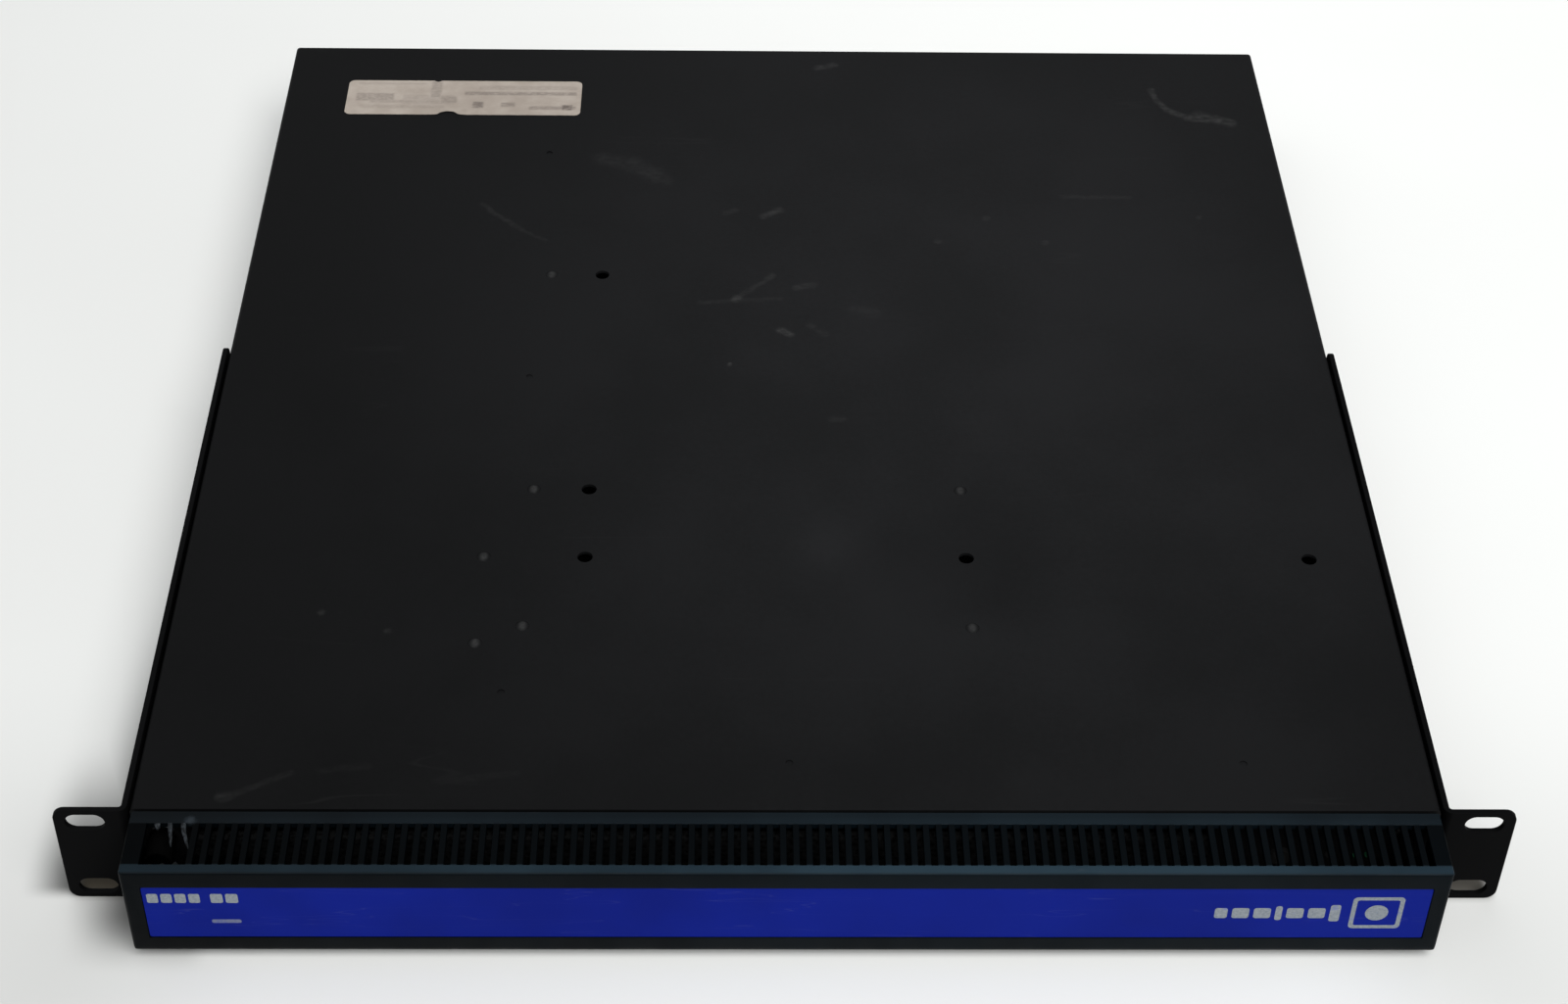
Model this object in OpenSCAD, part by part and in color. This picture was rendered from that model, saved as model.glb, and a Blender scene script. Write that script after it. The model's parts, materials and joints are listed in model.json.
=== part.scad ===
// One-unit rack-mount network appliance, lying on its lid.
// +Z points out of the base pan, -Y is the bezel side and +X is to the right.
// The origin is the centre of the front plane of the two rack ears.
// All sizes are in millimetres.

/* [Chassis] */
// Width across the chassis side walls
chassis_w = 431.8; // [430:0.1:433]
// Distance from the ears' front plane to the chassis rear
chassis_d = 457.2; // [456:0.1:475]
// Height from the lid's outer face to the pan's outer face
chassis_h = 43.2; // [43:0.1:43.6]
// Thickness of the pan and panel sheet
sheet = 1.2; // [1.1:0.05:1.25]
// Outer radius of the pan's folded edges
fold_r = 1.8; // [1.5:0.1:2.5]
// Radius of the spare open holes in the pan
open_hole_r = 2.8; // [1.5:0.1:3]
// Radius of the small dimples in the pan
dimple_r = 1.3; // [0.8:0.1:1.6]

/* [Rack brackets] */
// Overall width across the two ears
panel_w = 482.6; // [482:0.1:483.4]
// Length of the brackets along the side walls
bracket_l = 244; // [236:1:290]
// Thickness of the bracket sheet
bracket_t = 2.0; // [1.6:0.1:2.2]
// Stand-off between bracket and side wall
bracket_gap = 0.9; // [0.6:0.1:1.1]
// Distance between the centres of the left and right slots
slot_spacing_x = 462; // [460:0.5:465]
// Distance between the centres of the upper and lower slots
slot_spacing_z = 31.75; // [31:0.25:32]
// Width of an ear slot
slot_w = 7.3; // [6:0.1:7.6]
// End-to-end length of an ear slot
slot_l = 13; // [10:0.5:13.5]

/* [Bezel] */
// Width of the bezel
bezel_w = 430.4; // [429:0.1:431]
// Depth of the bezel in front of the ears
bezel_d = 26.5; // [24:0.1:28]
// Height of the bezel
bezel_h = 40.5; // [40.5:0.1:42]
// Wall thickness of the bezel
bezel_t = 2.2; // [1.8:0.1:2.4]
// Number of vent slots on each long face
vent_count = 99; // [60:1:99]
// Pitch of the vent slots
vent_pitch = 4.25; // [4:0.05:4.25]
// Width of the ribs between the vent slots
rib_w = 2.1; // [1.5:0.1:2.6]
// Width of the front plate
plate_w = 418.8; // [400:0.2:420]
// Height of the front plate
plate_h = 25; // [20:0.5:26]

/* [Lid] */
// Thickness of the lid sheet
lid_t = 1.0; // [0.9:0.1:1.1]
// Height of the lid's side flanges
lid_flange = 6; // [4:0.5:6]
// Radius of a thumbscrew's shank
thumb_r = 2.0; // [1.5:0.1:2.1]

/* [Power supply] */
// Width of the supply case
psu_w = 100; // [98:0.5:100.5]
// Length of the supply case
psu_l = 195; // [180:1:195]
// Tilt of the mains rocker on either side of level, in degrees
rocker_tilt = 9; // [6:1:10]

/* [Motherboard] */
// Width of the motherboard
board_w = 305; // [303:0.5:305]
// Length of the motherboard
board_l = 330; // [328:1:331]
// Height of the standoffs between the pan and the board
standoff_h = 6.5; // [6:0.1:7]
// Number of fins on the processor heatsink
fin_count = 17; // [9:2:17]

/* [Fans] */
// Size of a system fan's frame
fan_size = 40; // [38:0.5:40]
// Size of the supply fan's frame
psu_fan_size = 38; // [36:0.5:38]
// Number of blades on each rotor
blade_count = 7; // [5:1:9]
// Radius of the rotor shafts
shaft_r = 1.5; // [1.2:0.1:1.8]

/* [Drive] */
// Width of the drive
drive_w = 101.6; // [100:0.1:101.6]
// Length of the drive
drive_l = 146; // [120:1:147]
// Height of the drive
drive_h = 26.1; // [15:0.1:26.1]

/* [Controls] */
// Radius of the power button's cap
button_r = 3.4; // [2.5:0.1:4]
// Travel of the two buttons
button_travel = 1.5; // [0.5:0.1:1.6]

/* [Hidden] */
$fn = 48;

coat = "#1d1e20";
bezel_plastic = "#1b2023";
steel = "#b9bcc0";
dark_plastic = "#202020";
board_green = "#1f5a38";

// Small gaps: loose seating, running fit and pin fit
gap = 0.1;
run_gap = 0.05;

// Chassis planes
half_w = chassis_w / 2;
top_z = chassis_h / 2;
pan_in = top_z - sheet;
wall_in = half_w - sheet;
lid_in = lid_t - top_z;
wall_end = lid_in + gap;
pan_front = 1;
panel_top = pan_in - 0.35;
panel_in = pan_front + sheet;
rear_in = chassis_d - sheet;
flange_top = lid_in + lid_flange;

// Hole columns and rows of the pan and the motherboard
col_a = -92.4;
col_b = 66;
col_c = 190.6;
board_cols = [col_a, col_b, col_c];
row_a = 159;
row_b = 290;
row_c = 434;
spare_col = -71.9;
spare_row = 122.3;
tray_col = -108.4;
open_holes = [[spare_col, row_b], [spare_col, row_a], [spare_col, spare_row],
              [col_b, spare_row], [col_c, spare_row]];
dimple_col = -97.8;
dimples = [[dimple_col, 376], [dimple_col, 224.7], [dimple_col, 54.5], [0.6, 22], [153, 22]];
dimple_depth = 0.4;
wall_studs = [[col_a, 86.8], [col_b, 86.4]];
tray_posts = [[tray_col, spare_row], [tray_col, 78.2]];
headed = [[col_a, row_a], [col_a, row_b], [col_b, row_a]];
stud_head_r = 2.4;
stud_r = 1.5;

// Motherboard planes
board_top = pan_in - standoff_h;
board_t = 1.6;
board_z = board_top - board_t;
board_x = -99;
board_y = rear_in - 2 - board_l;

// Rack bracket planes
side_in = half_w + bracket_gap;
side_out = side_in + bracket_t;
ear_r = 4;
bend_r = 3;
bracket_rows = [30, 128, 226];
bracket_screw_z = 10;
csk_r = 3.9;
screw_r = 2;

// Bezel planes
bezel_top = top_z;
bezel_bottom = top_z - bezel_h;
bezel_front = -bezel_d;
vent_rear = -5.1;
vent_front = -22.6;
plate_mid_z = 1.95;
plate_mid_x = 0.3;
plate_recess = 0.8;
plate_t = 0.5;
bezel_stud_x = 206;
bezel_stud_z = 10;
stud_ball_r = 3;

// Thumbscrews
thumb_xs = [-104.75, 35];
thumb_z = -13.8;
tab_half = 7;
tab_t = 1.2;
tab_top = -8;
knob_r = 5.4;
knob_l = 7;

// Power supply planes
psu_wall = 0.8;
psu_x1 = -113;
psu_x0 = psu_x1 - psu_w;
psu_y1 = rear_in - gap;
psu_y0 = psu_y1 - psu_l;
psu_z0 = -19.6;
psu_z1 = pan_in - run_gap;
psu_mid_z = (psu_z0 + psu_z1) / 2;
psu_fan_x = -191.8;
inlet_x = -154;
rocker_x = -127.5;
rocker_half = [4.6, 7.4];
rocker_y = psu_y1 - 1.5;
rocker_pin_r = 1.2;

// Fans
fan_depth = 28;
psu_fan_depth = 20;
fan_wall_y = 80;
fan_xs = [-45, 10, 100, 155];

// Drive and tray
tray_top = 17.4;
tray_z = tray_top - sheet;
drive_x0 = -213.4;
drive_y0 = 28;

// Front controls
power_x = 165;
reset_x = 182;
reset_r = 1.8;
lamp_xs = [191, 195];
control_z = 6;

// Processor, memory and card places
cpu_xy = [112, 215];
cpu_package_h = 5.9;
sink_half = 45;
sink_screw = 38;
dimm_xs = [172, 182];
dimm_y0 = 150;
dimm_l = 133.35;
dimm_h = 18.3;
latch_y = 147;
latch_z = 8;
latch_pin_r = 0.9;
card_z = -16;
card_t = 1.6;
riser_x = 12.6;
jack_w = 16;
jack_h = 13.4;
board_jack_xs = [70, 87.5, 105, 122.5];
card_jack_xs = [-72, -52];
port_face = chassis_d + 0.4;

// ---------- shared shapes ----------

// A box between two opposite corners
module block(lo, hi) {
    translate(lo) cube(hi - lo);
}

// A flat rectangle with round corners, centred
module round_rect(w, h, r) {
    square([w - 2 * r, h], center = true);
    square([w, h - 2 * r], center = true);
    for (sx = [-1, 1], sy = [-1, 1])
        translate([sx * (w / 2 - r), sy * (h / 2 - r)]) circle(r);
}

// A flat slot with round ends, centred, along the first axis
module slot_shape(length, width) {
    square([length - width, width], center = true);
    for (s = [-1, 1])
        translate([s * (length - width) / 2, 0]) circle(width / 2);
}

// Extrudes a flat XZ outline between two Y planes
module along_y(y0, y1) {
    translate([0, y1, 0]) rotate([90, 0, 0]) linear_extrude(y1 - y0) children();
}

// Extrudes a flat YZ outline between two X planes
module along_x(x0, x1) {
    translate([x0, 0, 0]) rotate([90, 0, 90]) linear_extrude(x1 - x0) children();
}

// Round rods along each axis
module rod_x(y, z, r, x0, x1) {
    translate([x0, y, z]) rotate([0, 90, 0]) cylinder(r = r, h = x1 - x0);
}

module rod_y(x, z, r, y0, y1) {
    translate([x, y1, z]) rotate([90, 0, 0]) cylinder(r = r, h = y1 - y0);
}

module rod_z(x, y, r, z0, z1) {
    translate([x, y, z0]) cylinder(r = r, h = z1 - z0);
}

// The same shape on both sides of the middle plane
module both_sides() {
    children();
    mirror([1, 0, 0]) children();
}

// ---------- chassis ----------

// The folded outline of the pan: a flat top with a wall on each side
module pan_outline(half, top, r) {
    translate([-half, wall_end]) square([2 * half, top - r - wall_end]);
    translate([-(half - r), wall_end]) square([2 * (half - r), top - wall_end]);
    for (s = [-1, 1])
        translate([s * (half - r), top - r]) circle(r);
}

side_vent_count = 16;
side_vent_pitch = 8;
side_vent_w = 2.6;
side_vent_half = 8;
side_vent_y = 306;
rivet_r = 1.6;
rivet_zs = [-9, 12];
rivet_ys = [7.5, chassis_d - 6];

module base_pan() {
    color(coat) difference() {
        along_y(pan_front, chassis_d) difference() {
            pan_outline(half_w, top_z, fold_r);
            pan_outline(wall_in, pan_in, fold_r - sheet);
        }
        for (p = open_holes)
            rod_z(p[0], p[1], open_hole_r, pan_in - 1, top_z + 1);
        for (p = dimples)
            rod_z(p[0], p[1], dimple_r, top_z - dimple_depth, top_z + 1);
        for (p = concat(headed, wall_studs, tray_posts))
            rod_z(p[0], p[1], stud_head_r + run_gap, pan_in - 1, top_z + 1);
        for (s = [-1, 1]) {
            for (y = bracket_rows, z = [-bracket_screw_z, bracket_screw_z])
                rod_x(y, z, screw_r + run_gap, s * half_w - 3, s * half_w + 3);
            for (y = rivet_ys, z = rivet_zs)
                rod_x(y, z, rivet_r + run_gap, s * half_w - 3, s * half_w + 3);
            for (i = [0 : side_vent_count - 1])
                translate([s * half_w - 3, side_vent_y + i * side_vent_pitch, -side_vent_half])
                    cube([6, side_vent_w, 2 * side_vent_half]);
        }
    }
}

// The tabs that join a panel to the side walls
module panel_tabs(y0, y1) {
    both_sides() difference() {
        block([wall_in - gap - sheet, y0, flange_top + 0.5], [wall_in - gap, y1, pan_in - 1.5]);
        for (y = rivet_ys, z = rivet_zs)
            rod_x(y, z, rivet_r + run_gap, wall_in - 5, wall_in + 5);
    }
}

front_vent_w = 3;
front_vent_pitch = 6;
front_vent_half = 13;

module front_panel() {
    color(coat) {
        difference() {
            block([-wall_in + gap, pan_front, wall_end], [wall_in - gap, panel_in, panel_top]);
            for (x = [-192 : front_vent_pitch : 138])
                block([x, 0, -front_vent_half], [x + front_vent_w, 3, front_vent_half]);
            for (x = [-bezel_stud_x, bezel_stud_x], z = [-bezel_stud_z, bezel_stud_z])
                rod_y(x, z, screw_r + run_gap, 0, 3);
            rod_y(power_x, 0, button_r + run_gap, 0, 3);
            rod_y(reset_x, 0, reset_r + run_gap, 0, 3);
            for (x = lamp_xs)
                rod_y(x, 0, 1.5 + run_gap, 0, 3);
        }
        panel_tabs(panel_in, panel_in + 10);
    }
}

rear_vent_r = 1.6;
rear_vent_pitch = 5;
rear_vent_rows = [-13, -17.6];
io_x0 = 46;
io_x1 = 204;
io_z0 = -9.5;
io_z1 = 13.5;
card_x0 = -90;
card_x1 = 18;

module rear_panel() {
    color(coat) {
        difference() {
            block([-wall_in + gap, rear_in, wall_end], [wall_in - gap, chassis_d, panel_top]);
            // the lid's flanges pass at the two lower corners
            both_sides()
                block([wall_in - lid_t - 1, rear_in - 1, lid_in - 1],
                      [wall_in + 1, chassis_d + 1, flange_top + 0.2]);
            block([psu_x0 + 2.5, rear_in - 1, -18], [psu_x1 - 3, chassis_d + 1, 18.5]);
            block([io_x0, rear_in - 1, io_z0], [io_x1, chassis_d + 1, io_z1]);
            block([card_x0, rear_in - 1, card_z + 0.6], [card_x1, chassis_d + 1, -1]);
            for (x = thumb_xs)
                rod_y(x, thumb_z, thumb_r + 0.3, rear_in - 1, chassis_d + 1);
            for (x = [io_x0 + 5 : rear_vent_pitch : io_x1 - 3], z = rear_vent_rows)
                rod_y(x, z, rear_vent_r, rear_in - 1, chassis_d + 1);
        }
        panel_tabs(rear_in - 9, rear_in);
    }
}

module panel_rivets() {
    color(coat) both_sides()
        for (y = rivet_ys, z = rivet_zs) {
            rod_x(y, z, rivet_r, wall_in - gap - sheet - 0.4, half_w);
            rod_x(y, z, 2.3, half_w, half_w + 0.7);
        }
}

// ---------- rack brackets ----------

// The bracket seen from above: side plate, bend and ear
module bracket_plan() {
    ear_out = panel_w / 2;
    difference() {
        union() {
            translate([side_in, bend_r]) square([bracket_t, bracket_l - bend_r]);
            translate([side_in + bend_r, 0]) square([ear_out - side_in - bend_r, bracket_t]);
            intersection() {
                translate([side_in + bend_r, bend_r]) circle(bend_r);
                translate([side_in, 0]) square(bend_r);
            }
        }
        translate([side_in + bend_r, bend_r]) circle(bend_r - bracket_t);
    }
}

module bracket_right() {
    ear_out = panel_w / 2;
    // how far a mask runs past the edge that stays square
    reach = 20;
    difference() {
        intersection() {
            translate([0, 0, -top_z]) linear_extrude(chassis_h) bracket_plan();
            union() {
                // rounded corners at the ear's outer edge
                along_y(-1, bracket_t + 1)
                    translate([(side_in - reach + ear_out) / 2, 0])
                        round_rect(ear_out - side_in + reach, chassis_h, ear_r);
                // rounded corners at the plate's rear end
                along_x(side_in - 1, side_out + 2)
                    translate([(bracket_l - reach) / 2, 0])
                        round_rect(bracket_l + reach, chassis_h, ear_r);
            }
        }
        for (z = [-slot_spacing_z / 2, slot_spacing_z / 2])
            along_y(-1, bracket_t + 1)
                translate([slot_spacing_x / 2, z]) slot_shape(slot_l, slot_w);
        for (y = bracket_rows, z = [-bracket_screw_z, bracket_screw_z])
            translate([side_out, y, z]) bracket_screw_hole();
    }
    // pads that hold the plate off the side wall
    for (y = bracket_rows, z = [-bracket_screw_z, bracket_screw_z])
        difference() {
            rod_x(y, z, 6, half_w, side_in);
            rod_x(y, z, screw_r + run_gap, half_w - 1, side_in + 1);
        }
}

// A countersunk hole, mouth at the origin and pointing along -X
module bracket_screw_hole() {
    rotate([0, -90, 0]) {
        translate([0, 0, -0.01]) cylinder(r1 = csk_r + run_gap, r2 = screw_r + run_gap, h = 1.8);
        cylinder(r = screw_r + run_gap, h = 6);
    }
}

module rack_bracket_right() {
    color(coat) bracket_right();
}

module rack_bracket_left() {
    color(coat) mirror([1, 0, 0]) bracket_right();
}

module bracket_screws() {
    color("#3a3b3d") both_sides()
        for (y = bracket_rows, z = [-bracket_screw_z, bracket_screw_z])
            translate([side_out - 0.05, y, z]) rotate([0, -90, 0]) difference() {
                union() {
                    cylinder(r1 = csk_r - 0.05, r2 = screw_r - 0.05, h = 1.7);
                    cylinder(r = screw_r - 0.05, h = side_out - wall_in + 0.5);
                }
                // cross recess
                translate([-2, -0.35, -1]) cube([4, 0.7, 1.9]);
                translate([-0.35, -2, -1]) cube([0.7, 4, 1.9]);
            }
}

// ---------- label ----------

module rating_label() {
    color("#c9c1b6") translate([-137.5, 417.7, top_z])
        linear_extrude(0.12) round_rect(103, 26.5, 1.5);
}

// ---------- bezel ----------

module bezel_outline(grow) {
    w = bezel_w / 2 + grow;
    z1 = bezel_top + grow;
    z0 = bezel_bottom - grow;
    low_r = 4 + grow;
    translate([-w + low_r, z0]) square([2 * (w - low_r), z1 - z0]);
    translate([-w, z0 + low_r]) square([2 * w, z1 - z0 - low_r]);
    for (s = [-1, 1])
        translate([s * (w - low_r), z0 + low_r]) circle(low_r);
}

// Side view of the bezel's outside, with a round lower front edge
module bezel_side() {
    low_r = 3;
    translate([bezel_front + low_r, bezel_bottom]) square([bezel_d - low_r, bezel_h]);
    translate([bezel_front, bezel_bottom + low_r]) square([bezel_d, bezel_h - low_r]);
    translate([bezel_front + low_r, bezel_bottom + low_r]) circle(low_r);
}

module bezel_shell() {
    run = vent_count * vent_pitch - rib_w;
    color(bezel_plastic) {
        difference() {
            intersection() {
                along_y(bezel_front, 0) bezel_outline(0);
                along_x(-half_w, half_w) bezel_side();
            }
            along_y(bezel_front + bezel_t + plate_recess, 1) bezel_outline(-bezel_t);
            along_y(bezel_front - 1, bezel_front + plate_recess)
                translate([plate_mid_x, plate_mid_z]) round_rect(plate_w, plate_h, 1);
            for (i = [0 : vent_count - 1])
                translate([plate_mid_x - run / 2 + i * vent_pitch, vent_front, -50])
                    cube([vent_pitch - rib_w, vent_rear - vent_front, 100]);
        }
        // bosses that carry the clips
        for (x = [-bezel_stud_x, bezel_stud_x], z = [-bezel_stud_z, bezel_stud_z])
            rod_y(x, z, 4, bezel_front + bezel_t + plate_recess - 0.2, -12);
    }
}

module front_plate() {
    color("#14219c") along_y(bezel_front + plate_recess - plate_t, bezel_front + plate_recess)
        translate([plate_mid_x, plate_mid_z]) round_rect(plate_w - 0.4, plate_h - 0.4, 0.8);
}

// Plain printed bars in place of any wording
module plate_print() {
    y1 = bezel_front + plate_recess - plate_t;
    color("#b9c0c4") along_y(y1 - 0.06, y1) {
        translate([161, 2]) round_rect(46, 5, 1);
        translate([194, 2.4]) difference() {
            circle(7.6);
            circle(4.6);
        }
        translate([-193.5, 9]) round_rect(28, 4, 0.8);
        translate([-184, -2.6]) round_rect(10, 2, 0.5);
    }
}

module bezel_filter() {
    color("#2b2c2e") block([-196, -8, -15], [140, -3, 17]);
}

module bezel_clips() {
    color(dark_plastic)
        for (x = [-bezel_stud_x, bezel_stud_x], z = [-bezel_stud_z, bezel_stud_z])
            difference() {
                rod_y(x, z, 4.6, -12, -1);
                rod_y(x, z, stud_ball_r + run_gap, -10, 0);
            }
}

module bezel_studs() {
    color(steel)
        for (x = [-bezel_stud_x, bezel_stud_x], z = [-bezel_stud_z, bezel_stud_z]) {
            rod_y(x, z, screw_r, -3, panel_in + 1);
            rod_y(x, z, 4, 0, pan_front);
            rod_y(x, z, stud_ball_r, -8, -3);
        }
}

// ---------- lid ----------

module lid() {
    tab_y = chassis_d + gap;
    color(coat) difference() {
        union() {
            block([-half_w, pan_front, -top_z], [half_w, chassis_d, lid_in]);
            both_sides()
                block([wall_in - gap - lid_t, 13, lid_in - 0.5], [wall_in - gap, rear_in - 2, flange_top]);
            for (x = thumb_xs) {
                block([x - tab_half, chassis_d - 2, -top_z], [x + tab_half, tab_y + tab_t, lid_in]);
                block([x - tab_half, tab_y, -top_z], [x + tab_half, tab_y + tab_t, tab_top]);
            }
        }
        for (x = thumb_xs)
            rod_y(x, thumb_z, thumb_r + run_gap, tab_y - 1, tab_y + tab_t + 1);
    }
}

module thumbscrew(x) {
    knob_y = chassis_d + gap + tab_t + gap;
    groove_count = 20;
    color(steel) {
        difference() {
            rod_y(x, thumb_z, knob_r, knob_y, knob_y + knob_l);
            for (i = [0 : groove_count - 1])
                translate([x, 0, thumb_z]) rotate([0, i * 360 / groove_count, 0])
                    rod_y(knob_r + 0.2, 0, 0.5, knob_y - 1, knob_y + knob_l + 1);
            block([x - 4, knob_y + knob_l - 1.2, thumb_z - 0.6],
                  [x + 4, knob_y + knob_l + 1, thumb_z + 0.6]);
        }
        rod_y(x, thumb_z, thumb_r, rear_in - 6, knob_y + 0.5);
    }
}

module thumbscrew_left() {
    thumbscrew(thumb_xs[0]);
}

module thumbscrew_right() {
    thumbscrew(thumb_xs[1]);
}

// ---------- posts and studs on the pan ----------

module board_standoffs() {
    color(steel) for (x = board_cols, y = [row_a, row_b, row_c]) difference() {
        union() {
            rod_z(x, y, 3, board_top, pan_in);
            for (p = headed)
                if (p[0] == x && p[1] == y)
                    rod_z(x, y, stud_head_r, pan_in - 0.5, top_z);
        }
        rod_z(x, y, stud_r, board_top - 1, pan_in - 1);
    }
}

module tray_studs() {
    color(steel) {
        for (p = wall_studs) {
            rod_z(p[0], p[1], stud_head_r, pan_in, top_z);
            rod_z(p[0], p[1], stud_r, pan_in - sheet - 3.4, pan_in + 0.2);
        }
        for (p = tray_posts) {
            rod_z(p[0], p[1], stud_head_r, pan_in, top_z);
            rod_z(p[0], p[1], 3, tray_top, pan_in);
            rod_z(p[0], p[1], stud_r, tray_z - 3.4, tray_top + 0.2);
        }
    }
}

module stud_nut(p, z) {
    difference() {
        translate([p[0], p[1], z - 2.4]) cylinder(r = 3.1, h = 2.4, $fn = 6);
        rod_z(p[0], p[1], stud_r + run_gap, z - 3, z + 1);
    }
}

module stud_nuts() {
    color(steel) {
        for (p = wall_studs)
            stud_nut(p, pan_in - sheet);
        for (p = tray_posts)
            stud_nut(p, tray_z);
    }
}

// ---------- motherboard ----------

module sink_corners() {
    for (sx = [-1, 1], sy = [-1, 1])
        translate([cpu_xy[0] + sx * sink_screw, cpu_xy[1] + sy * sink_screw, 0]) children();
}

module motherboard() {
    color(board_green) difference() {
        block([board_x, board_y, board_z], [board_x + board_w, board_y + board_l, board_top]);
        for (x = board_cols, y = [row_a, row_b, row_c])
            rod_z(x, y, 1.9, board_z - 1, board_top + 1);
        sink_corners() rod_z(0, 0, 1.8, board_z - 1, board_top + 1);
    }
}

module board_screws() {
    color(steel) for (x = board_cols, y = [row_a, row_b, row_c]) difference() {
        union() {
            rod_z(x, y, 2.9, board_z - 1.8, board_z);
            rod_z(x, y, stud_r - run_gap, board_z - 0.2, board_top + 4);
        }
        block([x - 1.8, y - 0.35, board_z - 2.5], [x + 1.8, y + 0.35, board_z - 1]);
        block([x - 0.35, y - 1.8, board_z - 2.5], [x + 0.35, y + 1.8, board_z - 1]);
    }
}

// A chip body standing on the board, given by its centre and size
module chip(x, y, w, l, h) {
    block([x - w / 2, y - l / 2, board_z - h], [x + w / 2, y + l / 2, board_z]);
}

module board_chips() {
    color(dark_plastic) {
        chip(0, 235, 31, 31, 2.2);
        chip(40, 300, 24, 24, 1.8);
        chip(-40, 160, 18, 12, 1.4);
        chip(100, 330, 14, 14, 1.2);
        chip(125, 330, 14, 14, 1.2);
        chip(160, 330, 12, 20, 1.4);
        // sockets for the fan leads and the drive cable
        for (x = fan_xs)
            chip(x, board_y + 8, 10, 6, 7);
        chip(board_x + 6, 190, 6, 30, 19);
        chip(202, board_y + 14, 6, 12, 9);
        // main power header
        chip(-91, 231, 10, 52, 11);
    }
}

module processor() {
    color("#c8b98a") {
        translate([cpu_xy[0], cpu_xy[1], board_z - 3.3]) linear_extrude(3.3) round_rect(46, 46, 1);
        translate([cpu_xy[0], cpu_xy[1], board_z - cpu_package_h])
            linear_extrude(cpu_package_h - 3.2) round_rect(37, 37, 1.5);
    }
}

module finned_block(half_x, half_y, z_top, base_t, z_low, count, pitch, fin_t) {
    block([-half_x, -half_y, z_top - base_t], [half_x, half_y, z_top]);
    for (i = [0 : count - 1]) {
        x = (i - (count - 1) / 2) * pitch;
        block([x - fin_t / 2, -half_y, z_low], [x + fin_t / 2, half_y, z_top - base_t + 0.1]);
    }
}

module processor_heatsink() {
    sink_top = board_z - cpu_package_h;
    color("#a9adb1") difference() {
        translate([cpu_xy[0], cpu_xy[1], 0])
            finned_block(sink_half, sink_half, sink_top, 4, -18, fin_count, 4, 1);
        sink_corners() rod_z(0, 0, 1.8, sink_top - 5, sink_top + 1);
    }
}

module heatsink_hardware() {
    sink_low = board_z - cpu_package_h - 4;
    color(steel) {
        // four screws and the plate behind the board that they pull on
        sink_corners() {
            rod_z(0, 0, 3.2, sink_low - 2, sink_low);
            rod_z(0, 0, 1.6, sink_low - 0.2, board_top + 1.5);
        }
        difference() {
            block([cpu_xy[0] - sink_half, cpu_xy[1] - sink_half, board_top],
                  [cpu_xy[0] + sink_half, cpu_xy[1] + sink_half, board_top + 1.6]);
            block([cpu_xy[0] - 30, cpu_xy[1] - 30, board_top - 1],
                  [cpu_xy[0] + 30, cpu_xy[1] + 30, board_top + 3]);
            sink_corners() rod_z(0, 0, 1.6 + run_gap, board_top - 1, board_top + 3);
        }
    }
}

module chipset_heatsink() {
    color("#2f5d8c") translate([0, 235, 0])
        finned_block(17, 17, board_z - 2.2, 2.5, -3, 9, 3.8, 1);
}

module capacitors() {
    color("#27272f") for (i = [0 : 5]) {
        rod_z(82 + i * 12, 148, 4, board_z - 11, board_z);
        rod_z(40, 200 + i * 11, 4, board_z - 9, board_z);
    }
}

module coin_battery() {
    color(steel) {
        difference() {
            rod_z(-60, 185, 12, board_z - 4, board_z);
            rod_z(-60, 185, 10.1, board_z - 5, board_z - 1);
        }
        rod_z(-60, 185, 10, board_z - 4.2, board_z - 1);
    }
}

// ---------- memory ----------

module memory_sockets() {
    color(dark_plastic) for (x = dimm_xs) difference() {
        union() {
            block([x - 3.2, dimm_y0, board_z - 6], [x + 3.2, dimm_y0 + 142, board_z]);
            for (s = [-1, 1])
                block([x + s * 2.4 - 0.8, latch_y - 4, 3], [x + s * 2.4 + 0.8, dimm_y0 + 1, board_z]);
        }
        block([x - 0.7, dimm_y0 + 4, board_z - 7], [x + 0.7, dimm_y0 + 4.6 + dimm_l, board_z - 2]);
        rod_x(latch_y, latch_z, latch_pin_r + run_gap, x - 5, x + 5);
    }
}

module memory_modules() {
    y0 = dimm_y0 + 4.3;
    z1 = board_z - 2.2;
    for (x = dimm_xs) {
        color(board_green) block([x - 0.6, y0, z1 - dimm_h], [x + 0.6, y0 + dimm_l, z1]);
        color(dark_plastic) for (i = [0 : 8])
            block([x - 1.8, y0 + 5 + i * 14, z1 - dimm_h + 2], [x - 0.6, y0 + 16 + i * 14, z1 - 6]);
    }
}

module memory_latch(x) {
    color("#d8d8d4") {
        block([x - 1.5, latch_y - 1.8, -6], [x + 1.5, latch_y + 1.8, latch_z + 1.5]);
        block([x - 1.5, latch_y + 1.7, -6], [x + 1.5, latch_y + 6.8, -4]);
        rod_x(latch_y, latch_z, latch_pin_r, x - 3, x + 3);
    }
}

module memory_latch_left() {
    memory_latch(dimm_xs[0]);
}

module memory_latch_right() {
    memory_latch(dimm_xs[1]);
}

// ---------- riser and card ----------

riser_y0 = 325;
riser_y1 = 415;

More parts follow.
